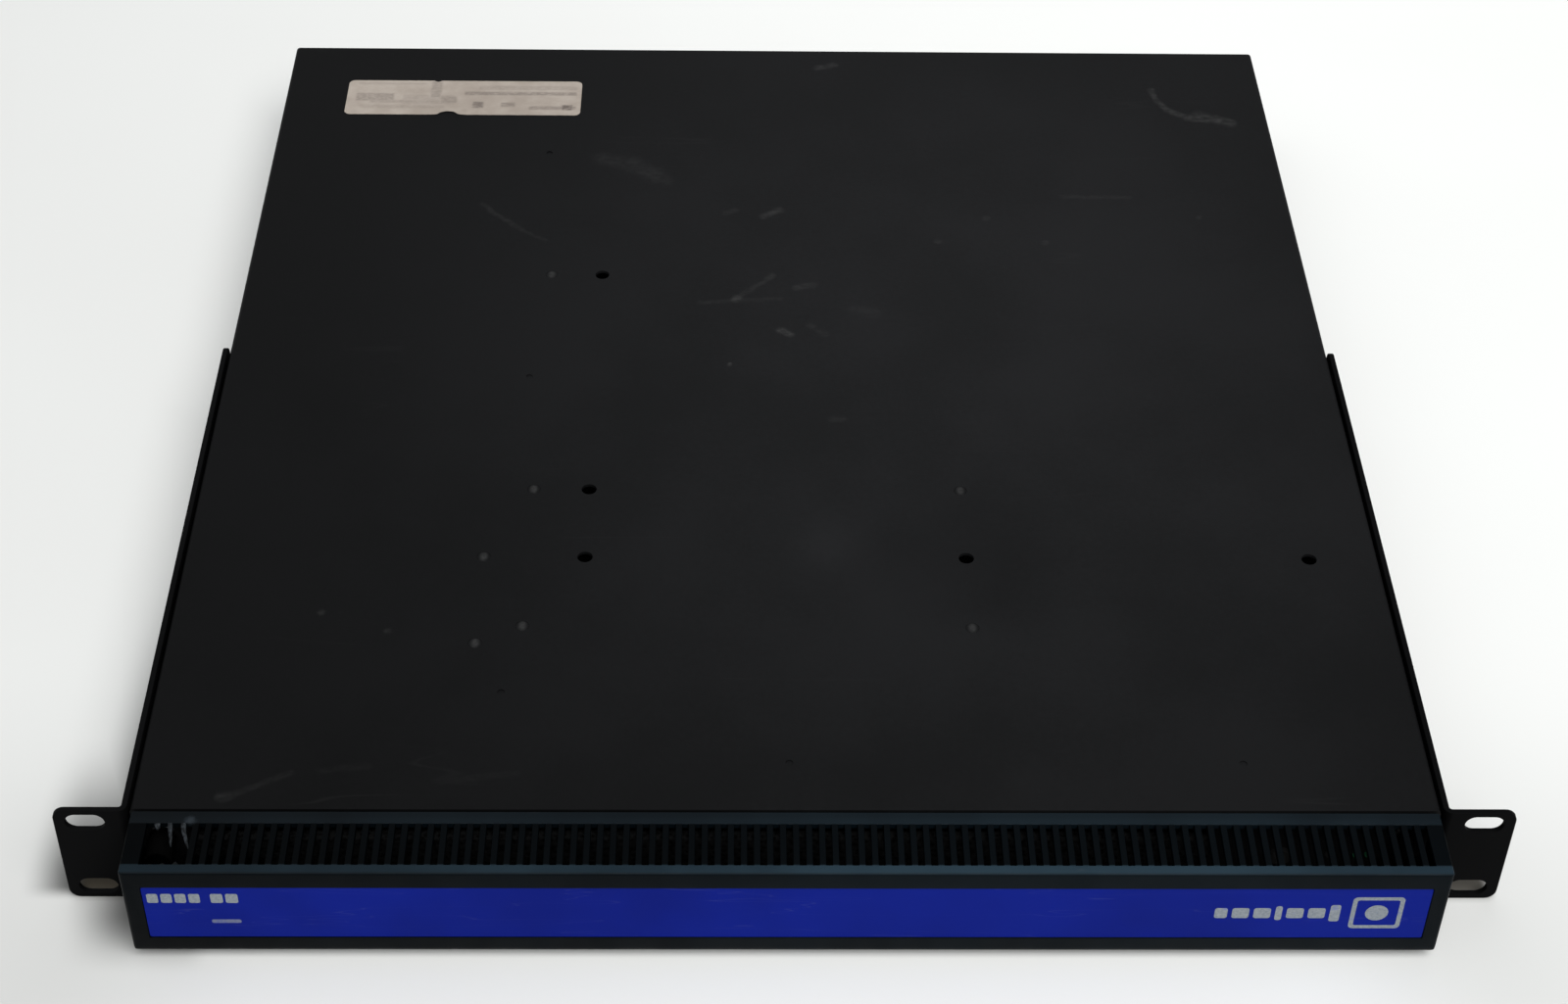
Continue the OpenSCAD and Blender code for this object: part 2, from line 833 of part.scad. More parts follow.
module riser_card() {
    color("#c9a227") {
        block([riser_x, riser_y0, card_z - 3], [riser_x + 1.6, riser_y1, 9.3]);
        // socket that takes the card's edge
        difference() {
            block([riser_x - 5, riser_y0 + 4, card_z - 2.6], [riser_x, riser_y1 - 4, card_z + 4]);
            block([riser_x - 6, riser_y0 + 5, card_z - gap],
                  [riser_x - 2, riser_y1 - 5, card_z + card_t + gap]);
        }
        // socket on the motherboard
        difference() {
            block([riser_x - 3, riser_y0 - 2, 2], [riser_x + 4.6, riser_y1 + 2, board_z]);
            block([riser_x - gap, riser_y0 - gap, 1], [riser_x + 1.6 + gap, riser_y1 + gap, 9.4]);
        }
    }
}

module expansion_card() {
    card_edge = riser_x - 2.6;
    color(board_green) {
        block([card_x0 + 2, 285, card_z], [riser_x - 6, rear_in - 4, card_z + card_t]);
        block([riser_x - 7, riser_y0 + 6, card_z], [card_edge, riser_y1 - 6, card_z + card_t]);
    }
    color(dark_plastic) for (p = [[-60, 350, 27], [-20, 350, 20], [-60, 400, 14], [-25, 395, 12]])
        block([p[0] - p[2] / 2, p[1] - p[2] / 2, card_z + card_t],
              [p[0] + p[2] / 2, p[1] + p[2] / 2, card_z + card_t + 1.8]);
}

module card_bracket() {
    color(steel) difference() {
        block([card_x0 - 4, rear_in - gap - 0.9, card_z - 2], [card_x1 + 4, rear_in - gap, 1]);
        for (x = card_jack_xs)
            block([x - gap, rear_in - 3, card_z + card_t - gap],
                  [x + jack_w + gap, rear_in + 1, card_z + card_t + jack_h + gap]);
    }
}

// ---------- rear ports ----------

// A modular network jack with its opening towards +Y, between the heights z0 and z1
module jack(x, z0, z1) {
    difference() {
        block([x, chassis_d - 21, z0], [x + jack_w, port_face, z1]);
        block([x + 2, chassis_d - 13, z0 + 2.4], [x + jack_w - 2, port_face + 1, z1 - 3.4]);
        block([x + 5, chassis_d - 13, z1 - 4], [x + jack_w - 5, port_face + 1, z1 - 1.6]);
    }
}

module network_jacks() {
    color(steel) {
        for (x = board_jack_xs)
            jack(x, board_z - jack_h, board_z);
        for (x = card_jack_xs)
            jack(x, card_z + card_t, card_z + card_t + jack_h);
    }
}

usb_x = 50;
usb_w = 14.4;
usb_h = 15.6;

module usb_ports() {
    z0 = board_z - usb_h;
    color(steel) difference() {
        block([usb_x, chassis_d - 19, z0], [usb_x + usb_w, port_face, board_z]);
        for (z = [z0 + 1.2, z0 + 8.6])
            difference() {
                block([usb_x + 1, chassis_d - 12, z], [usb_x + usb_w - 1, port_face + 1, z + 5.4]);
                block([usb_x + 1.6, chassis_d - 13, z + 2.4],
                      [usb_x + usb_w - 1.6, port_face - 1.5, z + 4.2]);
            }
    }
}

// A flat D outline, wide at the top
module d_shape(w, h) {
    r = 1.6;
    lean = 1;
    for (s = [-1, 1]) {
        translate([s * (w / 2 - r), h / 2 - r]) circle(r);
        translate([s * (w / 2 - r - lean), -h / 2 + r]) circle(r);
    }
    polygon([[-w / 2 + r, h / 2], [w / 2 - r, h / 2], [w / 2, h / 2 - r], [w / 2 - lean, -h / 2 + r],
             [w / 2 - r - lean, -h / 2], [-w / 2 + r + lean, -h / 2], [-w / 2 + lean, -h / 2 + r],
             [-w / 2, h / 2 - r]]);
}

dsub_w = 30.8;
dsub_half_h = 6.2;
dsub_z = board_z - 6.6;
dsub_pin_r = 0.5;

// A D connector centred on x, with rows of pins or holes
module dsub(x, rows, per_row, is_male) {
    color(steel) {
        block([x - dsub_w / 2, rear_in - 5, dsub_z - dsub_half_h],
              [x + dsub_w / 2, rear_in - 1.2, dsub_z + dsub_half_h]);
        along_y(rear_in - 1.3, chassis_d + 5) translate([x, dsub_z]) difference() {
            d_shape(17, 8.4);
            if (is_male)
                d_shape(16.2, 7.6);
        }
        // the two hexagonal posts
        for (s = [-1, 1])
            translate([x + s * 12.5, chassis_d + 4, dsub_z]) rotate([90, 0, 0])
                cylinder(r = 2.7, h = sheet + 5.3, $fn = 6);
        for (row = [0 : rows - 1], i = [0 : per_row - 1])
            if (is_male)
                rod_y(x + (i - (per_row - 1) / 2) * 2.6, dsub_z + (row - (rows - 1) / 2) * 2.6,
                      dsub_pin_r, rear_in - 1.3, chassis_d + 4);
    }
    // body behind the shield, standing on the board
    color(dark_plastic)
        block([x - 10, rear_in - 14, dsub_z - 5], [x + 10, rear_in - 5, board_z]);
}

serial_x = 187.5;
video_x = 156;

module serial_port() {
    dsub(serial_x, 2, 5, true);
}

module video_port() {
    dsub(video_x, 3, 5, false);
}

module io_shield() {
    color(steel) difference() {
        block([io_x0 - 3, rear_in - gap - 0.6, io_z0 - 2], [io_x1 + 2, rear_in - gap, board_z - gap]);
        for (x = board_jack_xs)
            block([x - gap, rear_in - 3, board_z - jack_h - gap],
                  [x + jack_w + gap, rear_in + 1, board_z + 1]);
        block([usb_x - gap, rear_in - 3, board_z - usb_h - gap],
              [usb_x + usb_w + gap, rear_in + 1, board_z + 1]);
        for (x = [serial_x, video_x]) {
            along_y(rear_in - 3, rear_in + 1) translate([x, dsub_z]) d_shape(17.6, 9);
            for (s = [-1, 1])
                rod_y(x + s * 12.5, dsub_z, 2.9, rear_in - 3, rear_in + 1);
        }
    }
}

// ---------- fans ----------

bore_wall = 1.2;

// A square fan frame with its axis along Y; the back side carries the spokes
module fan_frame(size, depth) {
    r = size / 2 - bore_wall;
    hub_r = size * 0.28;
    tube_r = shaft_r + 1.6;
    difference() {
        block([-size / 2, 0, -size / 2], [size / 2, depth, size / 2]);
        rod_y(0, 0, r, -1, depth + 1);
        for (sx = [-1, 1], sz = [-1, 1])
            rod_y(sx * (size / 2 - 3.2), sz * (size / 2 - 3.2), 1.7, -1, depth + 1);
    }
    difference() {
        union() {
            for (a = [45, 135])
                rotate([0, a, 0]) block([-r - 0.3, depth - 2.5, -1.2], [r + 0.3, depth, 1.2]);
            rod_y(0, 0, hub_r, depth - 2.5, depth);
            rod_y(0, 0, tube_r, depth * 0.35, depth);
            rod_y(0, 0, hub_r - 3, depth * 0.5, depth);
        }
        rod_y(0, 0, shaft_r + run_gap, -1, depth - 1);
    }
}

// The rotor: a hub cup with its shaft and a ring of pitched blades
module fan_rotor(size, depth) {
    r = size / 2 - bore_wall - 0.8;
    hub_r = size * 0.28;
    cup_end = depth - 3.2;
    blade_l = depth * 0.55;
    color(dark_plastic) {
        difference() {
            rod_y(0, 0, hub_r, 1.5, cup_end);
            rod_y(0, 0, hub_r - 1.4, 3.2, cup_end + 1);
        }
        rod_y(0, 0, shaft_r, 3, depth - 2);
        for (i = [0 : blade_count - 1])
            rotate([0, i * 360 / blade_count, 0])
                translate([hub_r - 0.7, depth * 0.42, 0])
                    rotate([38, 0, 0])
                        translate([0, -blade_l / 2, -0.5]) cube([r - hub_r - 1.6, blade_l, 1]);
    }
}

module place_fan(i) {
    translate([fan_xs[i], fan_wall_y + sheet, 0]) children();
}

module fan_housings() {
    color("#242527") for (i = [0 : 3])
        place_fan(i) fan_frame(fan_size, fan_depth);
}

module fan_rotor_1() {
    place_fan(0) fan_rotor(fan_size, fan_depth);
}

module fan_rotor_2() {
    place_fan(1) fan_rotor(fan_size, fan_depth);
}

module fan_rotor_3() {
    place_fan(2) fan_rotor(fan_size, fan_depth);
}

module fan_rotor_4() {
    place_fan(3) fan_rotor(fan_size, fan_depth);
}

module fan_wall() {
    color(steel) {
        difference() {
            block([board_x, fan_wall_y, -20.2], [192, fan_wall_y + sheet, pan_in]);
            for (x = fan_xs)
                rod_y(x, 0, fan_size / 2 - 1, fan_wall_y - 1, fan_wall_y + 3);
        }
        for (p = wall_studs)
            difference() {
                block([p[0] - 6.5, fan_wall_y + 0.5, pan_in - sheet], [p[0] + 7.5, 94, pan_in]);
                rod_z(p[0], p[1], stud_r + run_gap, pan_in - 3, pan_in + 1);
            }
    }
}

// ---------- drive ----------

module drive_holes(r, z0, z1) {
    for (sx = [-1, 1], y = [41, 85])
        rod_z(drive_x0 + drive_w / 2 + sx * 47.6, drive_y0 + y, r, z0, z1);
}

module drive_tray() {
    color(steel) {
        difference() {
            block([drive_x0 - 0.6, drive_y0 - 4, tray_z],
                  [tray_col + 5, drive_y0 + drive_l + 4, tray_top]);
            for (p = tray_posts)
                rod_z(p[0], p[1], stud_r + run_gap, tray_z - 1, tray_top + 1);
            drive_holes(1.7, tray_z - 1, tray_top + 1);
        }
        // four screws that hold the drive
        drive_holes(2.7, tray_top, tray_top + 1.8);
        drive_holes(1.5, tray_z - 4, tray_top + 0.2);
    }
}

module hard_drive() {
    z0 = tray_z - drive_h;
    color("#8d9196") difference() {
        union() {
            block([drive_x0, drive_y0, z0 + 1.5], [drive_x0 + drive_w, drive_y0 + drive_l, tray_z]);
            translate([drive_x0 + drive_w / 2, drive_y0 + drive_l / 2, z0])
                linear_extrude(2) round_rect(drive_w - 6, drive_l - 6, 8);
        }
        drive_holes(1.5 + run_gap, tray_z - 5, tray_z + 1);
        translate([drive_x0 + drive_w / 2, drive_y0 + 50, z0 - 1]) cylinder(r = 32, h = 1.5);
    }
}

// ---------- power supply ----------

inlet_half = [13.5, 9.9];

module power_supply_case() {
    color("#9fa3a6") difference() {
        block([psu_x0, psu_y0, psu_z0], [psu_x1, psu_y1, psu_z1]);
        block([psu_x0 + psu_wall, psu_y0 + psu_wall, psu_z0 + psu_wall],
              [psu_x1 - psu_wall, psu_y1 - psu_wall, psu_z1 - psu_wall]);
        rod_y(psu_fan_x, psu_mid_z, psu_fan_size / 2 - 2, psu_y1 - 2, psu_y1 + 1);
        block([inlet_x - inlet_half[0] - gap, psu_y1 - 2, psu_mid_z - inlet_half[1] - gap],
              [inlet_x + inlet_half[0] + gap, psu_y1 + 1, psu_mid_z + inlet_half[1] + gap]);
        block([rocker_x - 6.1, psu_y1 - 2, psu_mid_z - 9.1], [rocker_x + 6.1, psu_y1 + 1, psu_mid_z + 9.1]);
        for (i = [0 : 9])
            block([psu_x0 + 12 + i * 6, psu_y0 - 1, -12], [psu_x0 + 15 + i * 6, psu_y0 + 2, 14]);
        // opening for the cables
        rod_y(-125, -15, 4.1, psu_y0 - 1, psu_y0 + 2);
        rod_y(-190, 0, 2.6, psu_y0 - 1, psu_y0 + 2);
    }
}

module power_supply_board() {
    z1 = psu_z1 - psu_wall - 3;
    color("#7a5a2a") difference() {
        block([psu_x0 + 3, psu_y0 + 6, z1 - 1.6], [psu_x1 - 3, psu_y0 + 160, z1]);
        for (sx = [psu_x0 + 8, psu_x1 - 8], y = [psu_y0 + 12, psu_y0 + 152])
            rod_z(sx, y, 1.6, z1 - 3, z1 + 1);
    }
    color(steel) for (sx = [psu_x0 + 8, psu_x1 - 8], y = [psu_y0 + 12, psu_y0 + 152]) {
        rod_z(sx, y, 1.55, z1 - 1.6, z1 + 0.5);
        rod_z(sx, y, 2.6, z1, psu_z1 - psu_wall);
        rod_z(sx, y, 2.6, z1 - 3.2, z1 - 1.6);
    }
    // transformer, coils and main capacitors standing on the board
    color("#b98a3a") block([-175, psu_y0 + 60, z1 - 29], [-140, psu_y0 + 96, z1 - 1.6]);
    color("#26262c") for (y = [psu_y0 + 45, psu_y0 + 72, psu_y0 + 99])
        rod_z(-196, y, 11, z1 - 30, z1 - 1.6);
    color("#a9adb1") block([-134, psu_y0 + 40, z1 - 28], [-131, psu_y0 + 120, z1 - 1.6]);
}

module place_psu_fan() {
    translate([psu_fan_x, psu_y1 - psu_wall - psu_fan_depth, psu_mid_z]) children();
}

module psu_fan_housing() {
    color("#242527") place_psu_fan()
        translate([0, psu_fan_depth, 0]) mirror([0, 1, 0]) fan_frame(psu_fan_size, psu_fan_depth);
}

module psu_fan_rotor() {
    color(dark_plastic) place_psu_fan()
        translate([0, psu_fan_depth, 0]) mirror([0, 1, 0]) fan_rotor(psu_fan_size, psu_fan_depth);
}

module psu_fan_guard() {
    wire = 0.6;
    color(steel) translate([psu_fan_x, psu_y1 + wire, psu_mid_z]) {
        for (r = [4.5, 9, 13.5, 17.5])
            rotate([90, 0, 0]) rotate_extrude() translate([r, 0]) circle(wire, $fn = 24);
        for (a = [45, 135])
            rotate([0, a, 0]) rod_x(0, 0, wire * 0.9, -17.5, 17.5);
    }
}

module mains_inlet() {
    pin = [1, 2.4];
    color(dark_plastic) translate([inlet_x, 0, psu_mid_z]) {
        difference() {
            union() {
                along_y(psu_y1 - 18, psu_y1 + 0.5)
                    square([2 * inlet_half[0], 2 * inlet_half[1]], center = true);
                along_y(psu_y1, psu_y1 + 2) round_rect(29.4, 24, 2);
            }
            along_y(psu_y1 - 15, psu_y1 + 3) inlet_opening(24.4, 16.2);
        }
        along_y(psu_y1 - 16, psu_y1 - 1) {
            for (p = [[-7, -1.5], [7, -1.5], [0, 2.5]])
                translate(p) square([2 * pin[0], 2 * pin[1]], center = true);
        }
    }
    switch_frame();
}

// The six-sided opening of the inlet
module inlet_opening(w, h) {
    cut = 4;
    polygon([[-w / 2, -h / 2], [w / 2, -h / 2], [w / 2, h / 2 - cut], [w / 2 - cut, h / 2],
             [-w / 2 + cut, h / 2], [-w / 2, h / 2 - cut]]);
}

// The fixed housing of the mains rocker
module switch_frame() {
    color(dark_plastic) translate([rocker_x, 0, psu_mid_z]) difference() {
        union() {
            along_y(psu_y1 - 14, psu_y1 + 0.5) square([12, 18], center = true);
            along_y(psu_y1, psu_y1 + 1.6) round_rect(14.6, 20.6, 1.2);
        }
        along_y(psu_y1 - 12, psu_y1 + 3) square([2 * rocker_half[0] + 0.4, 16], center = true);
        rod_x(rocker_y, 0, rocker_pin_r + run_gap, -5.7, 5.7);
    }
}

// The rocker is built tilted to its off side
module switch_rocker() {
    color("#1a1a1a") translate([rocker_x, rocker_y, psu_mid_z]) {
        rotate([rocker_tilt, 0, 0])
            along_x(-rocker_half[0], rocker_half[0]) difference() {
                union() {
                    translate([-3, -rocker_half[1]]) square([6, 2 * rocker_half[1]]);
                    circle(3.4);
                }
                // dished face
                translate([22, 0]) circle(20.4);
            }
        rod_x(0, 0, rocker_pin_r, -5.5, 5.5);
    }
}

// ---------- front controls ----------

module control_board() {
    switch_y = 7 + button_travel + 0.2;
    color(board_green) block([150, 9, control_z], [200, 38, control_z + 1.6]);
    color(dark_plastic) {
        block([power_x - 4, switch_y, -4], [power_x + 4, switch_y + 8, control_z]);
        block([reset_x - 3, switch_y, -3], [reset_x + 3, switch_y + 8, control_z]);
    }
    color("#7fd08a") for (x = lamp_xs) {
        rod_y(x, 0, 1.5, pan_front - 0.4, 12);
        block([x - 1.4, 10.5, -1], [x + 1.4, 12, control_z]);
    }
    color(steel) for (x = [153.5, 196.5], y = [34])
        rod_z(x, y, 2.5, control_z + 1.6, pan_in);
}

// A push button with its retaining collar behind the front panel
module push_button(x, r, collar, proud) {
    color("#c9ccd0") {
        rod_y(x, 0, r, pan_front - proud, 7);
        rod_y(x, 0, collar, panel_in + run_gap, panel_in + 1);
    }
}

module power_button() {
    push_button(power_x, button_r, button_r + 1.2, 2);
}

module reset_button() {
    push_button(reset_x, reset_r, reset_r + 1.2, 0.2);
}

// ---------- cables ----------

// A quarter bend in the XY plane, centred on the bend's centre
module quarter_bend(bend, r) {
    rotate_extrude(angle = 90) translate([bend, 0]) circle(r, $fn = 24);
}

module cable_set() {
    bundle = 4;
    bend = 8;
    plane_z = -15;
    y_run = psu_y0 - 14;
    color("#303236") {
        // main supply bundle: out of the case, round to the header's plug
        rod_y(-125, plane_z, bundle, y_run + bend, psu_y0 + 2);
        translate([-125 + bend, y_run + bend, plane_z]) rotate([0, 0, 180]) quarter_bend(bend, bundle);
        rod_x(y_run, plane_z, bundle, -125 + bend, -90);
        block([-96, 206, plane_z - 4], [-86, 256, board_z - 11 - gap]);
        // drive supply lead
        rod_y(-190, 0, 2.5, drive_y0 + drive_l + gap, psu_y0 + 2);
    }
    // flat drive cable standing on edge
    color("#8b2b2b") {
        block([-160, drive_y0 + drive_l + gap, -6], [-159, 190, 8]);
        block([-160, 189.5, -6], [board_x + 3 - gap, 190.5, 8]);
    }
    // fan leads and the control lead
    color("#303236") {
        for (x = fan_xs)
            rod_y(x, board_z - 3, 0.9, fan_wall_y + sheet + fan_depth + gap, board_y + 5 - gap);
        rod_y(202, board_z - 4, 1.4, 43, board_y + 8 - gap);
        block([196, 38 + gap, board_z - 6], [204, 44, board_z - 2]);
    }
}

base_pan();
front_panel();
rear_panel();
panel_rivets();
rack_bracket_left();
rack_bracket_right();
bracket_screws();
rating_label();
bezel_shell();
front_plate();
plate_print();
bezel_filter();
bezel_clips();
bezel_studs();
lid();
thumbscrew_left();
thumbscrew_right();
board_standoffs();
tray_studs();
stud_nuts();
motherboard();
board_screws();
board_chips();
processor();
processor_heatsink();
heatsink_hardware();
chipset_heatsink();
capacitors();
coin_battery();
memory_sockets();
memory_modules();
memory_latch_left();
memory_latch_right();
riser_card();
expansion_card();
card_bracket();
network_jacks();
usb_ports();
serial_port();
video_port();
io_shield();
fan_wall();
fan_housings();
fan_rotor_1();
fan_rotor_2();
fan_rotor_3();
fan_rotor_4();
drive_tray();
hard_drive();
power_supply_case();
power_supply_board();
psu_fan_housing();
psu_fan_rotor();
psu_fan_guard();
mains_inlet();
switch_rocker();
control_board();
power_button();
reset_button();
cable_set();
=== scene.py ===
"""Looks of a one-unit rack appliance lying on its lid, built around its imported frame.

Lengths are millimetres in the row frame, and turn into metres where a mesh is handed to Blender.
"""

import json
import math

import bmesh
import bpy
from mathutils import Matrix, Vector, noise


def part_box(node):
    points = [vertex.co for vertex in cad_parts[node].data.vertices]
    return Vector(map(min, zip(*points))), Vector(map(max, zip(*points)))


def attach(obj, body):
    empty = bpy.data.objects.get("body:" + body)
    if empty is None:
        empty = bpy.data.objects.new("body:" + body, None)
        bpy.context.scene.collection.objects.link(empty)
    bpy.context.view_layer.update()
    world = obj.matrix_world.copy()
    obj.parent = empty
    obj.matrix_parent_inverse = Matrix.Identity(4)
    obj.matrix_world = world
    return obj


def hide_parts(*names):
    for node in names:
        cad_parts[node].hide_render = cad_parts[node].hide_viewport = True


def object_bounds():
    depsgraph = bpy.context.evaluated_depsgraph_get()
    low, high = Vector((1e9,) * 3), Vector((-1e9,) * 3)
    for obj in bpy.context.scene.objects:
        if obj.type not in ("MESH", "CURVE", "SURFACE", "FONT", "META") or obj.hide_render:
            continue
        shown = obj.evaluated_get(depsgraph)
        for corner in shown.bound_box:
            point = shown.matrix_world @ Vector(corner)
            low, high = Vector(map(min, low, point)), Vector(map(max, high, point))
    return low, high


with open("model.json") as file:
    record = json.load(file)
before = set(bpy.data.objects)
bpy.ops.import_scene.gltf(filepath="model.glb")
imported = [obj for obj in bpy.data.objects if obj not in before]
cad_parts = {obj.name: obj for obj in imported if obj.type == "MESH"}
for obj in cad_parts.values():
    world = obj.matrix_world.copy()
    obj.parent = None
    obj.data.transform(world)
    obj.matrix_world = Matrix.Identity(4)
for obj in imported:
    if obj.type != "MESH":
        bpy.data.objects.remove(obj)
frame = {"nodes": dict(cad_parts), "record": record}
cad_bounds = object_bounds()

MM = 0.001


def box_mm(node):
    """Lowest and highest corner of a CAD node, in millimetres."""
    low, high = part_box(node)
    return low / MM, high / MM


def add_object(name, data):
    made = bpy.data.objects.new(name, data)
    bpy.context.scene.collection.objects.link(made)
    return made


PAN_HIGH = box_mm("base_pan")[1]
SHEET = 1.2
TOP = PAN_HIGH.z
BEZEL_LOW, BEZEL_HIGH = box_mm("bezel_shell")
BEZEL_FRONT, BEZEL_FLOOR = BEZEL_LOW.y, BEZEL_LOW.z
BEZEL_WALL = 2.2
RECESS = 0.8
VENT_FRONT, VENT_REAR = -22.6, -5.1
WHITENED = (-195.0, -4.0, TOP)


# ---------- materials ----------

def grey(level, warm=0.0):
    """A linear grey; warm above 0 leans it to red, below 0 to blue."""
    return (level * (1 + warm), level, level * (1 - warm), 1.0)


class Tree:
    """A node tree that starts empty."""

    def __init__(self, tree):
        self.tree = tree
        tree.nodes.clear()

    def node(self, kind, feeds=(), **settings):
        """Makes a node, sets it and feeds its sockets; feeds holds pairs of socket and value."""
        made = self.tree.nodes.new(kind)
        for key, value in settings.items():
            setattr(made, key, value)
        for socket, value in feeds:
            self.feed(made.inputs[socket], value)
        return made

    def feed(self, socket, value):
        if isinstance(value, bpy.types.NodeSocket):
            self.tree.links.new(value, socket)
        else:
            socket.default_value = value


class Look(Tree):
    """A material built from nodes. Positions in it are millimetres in the row frame."""

    def __init__(self, name):
        self.material = bpy.data.materials.new(name)
        self.material.use_nodes = True
        super().__init__(self.material.node_tree)
        place = self.node("ShaderNodeTexCoord").outputs["Object"]
        self.place = self.vector("SCALE", place, scale=1 / MM)
        self.x, self.y, self.z = self.node("ShaderNodeSeparateXYZ", [(0, self.place)]).outputs

    def calc(self, operation, *values):
        return self.node("ShaderNodeMath", enumerate(values), operation=operation).outputs[0]

    def times(self, first, *others):
        for other in others:
            first = self.calc("MULTIPLY", first, other)
        return first

    def plus(self, first, second):
        return self.calc("ADD", first, second)

    def most(self, first, second):
        return self.calc("MAXIMUM", first, second)

    def inverse(self, value):
        return self.calc("SUBTRACT", 1.0, value)

    def vector(self, operation, first, second=(0, 0, 0), scale=1.0):
        other = ("Scale", scale) if operation == "SCALE" else (1, second)
        made = self.node("ShaderNodeVectorMath", [(0, first), other], operation=operation)
        plain = operation in ("DOT_PRODUCT", "LENGTH", "DISTANCE")
        return made.outputs["Value" if plain else "Vector"]

    def step(self, value, low, high, out_low=0.0, out_high=1.0):
        """A smooth rise from out_low to out_high as value goes from low to high."""
        feeds = enumerate((value, low, high, out_low, out_high))
        return self.node("ShaderNodeMapRange", feeds, interpolation_type="SMOOTHSTEP").outputs["Result"]

    def fall(self, value, low, high):
        """1 below low, 0 above high."""
        return self.step(value, low, high, 1.0, 0.0)

    def noise(self, size, detail=2.0, rough=0.5, stretch=(1, 1, 1)):
        place = self.vector("MULTIPLY", self.place, stretch)
        feeds = [("Vector", place), ("Scale", 1 / size), ("Detail", detail), ("Roughness", rough)]
        return self.node("ShaderNodeTexNoise", feeds).outputs["Fac"]

    def cells(self, size, feature="F1"):
        feeds = [("Vector", self.place), ("Scale", 1 / size)]
        return self.node("ShaderNodeTexVoronoi", feeds, feature=feature).outputs["Distance"]

    def noise_colour(self, size):
        """A noise with three independent channels."""
        feeds = [("Vector", self.place), ("Scale", 1 / size), ("Detail", 3.0)]
        return self.node("ShaderNodeTexNoise", feeds).outputs["Color"]

    def tint(self, colour, value):
        """The colour made lighter or darker by a factor."""
        even = self.node("ShaderNodeCombineXYZ", [(i, value) for i in range(3)]).outputs[0]
        return self.mix(1.0, colour, even, "MULTIPLY")

    def mix(self, factor, first, second, mode="MIX"):
        feeds = [(0, factor), (6, first), (7, second)]
        return self.node("ShaderNodeMix", feeds, data_type="RGBA", blend_type=mode).outputs[2]

    def blend(self, value, low, high, first, second):
        """From the first colour to the second as value goes from low to high."""
        return self.mix(self.step(value, low, high), first, second)

    def wave(self, value, pitch):
        """Even humps from 0 to 1, one per pitch."""
        return self.calc("ABSOLUTE", self.calc("SINE", self.times(value, math.pi / pitch)))

    def window(self, value, low, high, soft):
        """1 where value lies between low and high, with soft shoulders."""
        rise = self.step(value, low - soft, low + soft)
        return self.times(rise, self.fall(value, high - soft, high + soft))

    def patch(self, x0, x1, y0, y1, soft):
        """1 inside a rectangle seen from above."""
        return self.times(self.window(self.x, x0, x1, soft), self.window(self.y, y0, y1, soft))

    def away(self, place, middle, stretch):
        """The distance from the middle after the place was stretched."""
        return self.vector("DISTANCE", self.vector("MULTIPLY", place, stretch), middle)

    def hairlines(self, value, high):
        """Thin lines where a noise passes through its middle."""
        return self.times(self.step(value, 0.495, 0.5), self.fall(value, 0.5, high))

    def stroke(self, place, start, end, width):
        """1 on a line from start to end, fading out over its width."""
        start, end = Vector(start), Vector(end)
        length = (end - start).length
        direction = (end - start) / length
        offset = self.vector("SUBTRACT", place, tuple(start))
        along = self.vector("DOT_PRODUCT", offset, tuple(direction))
        along = self.calc("MINIMUM", self.most(along, 0.0), length)
        nearest = self.vector("SCALE", tuple(direction), scale=along)
        distance = self.vector("DISTANCE", offset, nearest)
        return self.fall(distance, width * 0.2, width)

    def surface(self, colour, rough, metal=0.0, shine=0.5, bumps=()):
        """Joins everything to a surface; bumps holds pairs of height and depth in millimetres."""
        normal = []
        for height, depth in bumps:
            bump = self.node("ShaderNodeBump", [("Height", height), ("Distance", depth * MM)] + normal)
            normal = [("Normal", bump.outputs["Normal"])]
        feeds = [("Base Color", colour), ("Roughness", rough), ("Metallic", metal)]
        feeds += [("Specular IOR Level", shine)] + normal
        shader = self.node("ShaderNodeBsdfPrincipled", feeds)
        self.node("ShaderNodeOutputMaterial", [("Surface", shader.outputs["BSDF"])])
        return self.material


COAT_DARK = (0.0046, 0.0047, 0.0050, 1.0)
COAT_LIGHT = (0.0066, 0.0067, 0.0072, 1.0)
COAT_SHINE = 0.06
SCUFF = (0.075, 0.075, 0.074, 1.0)

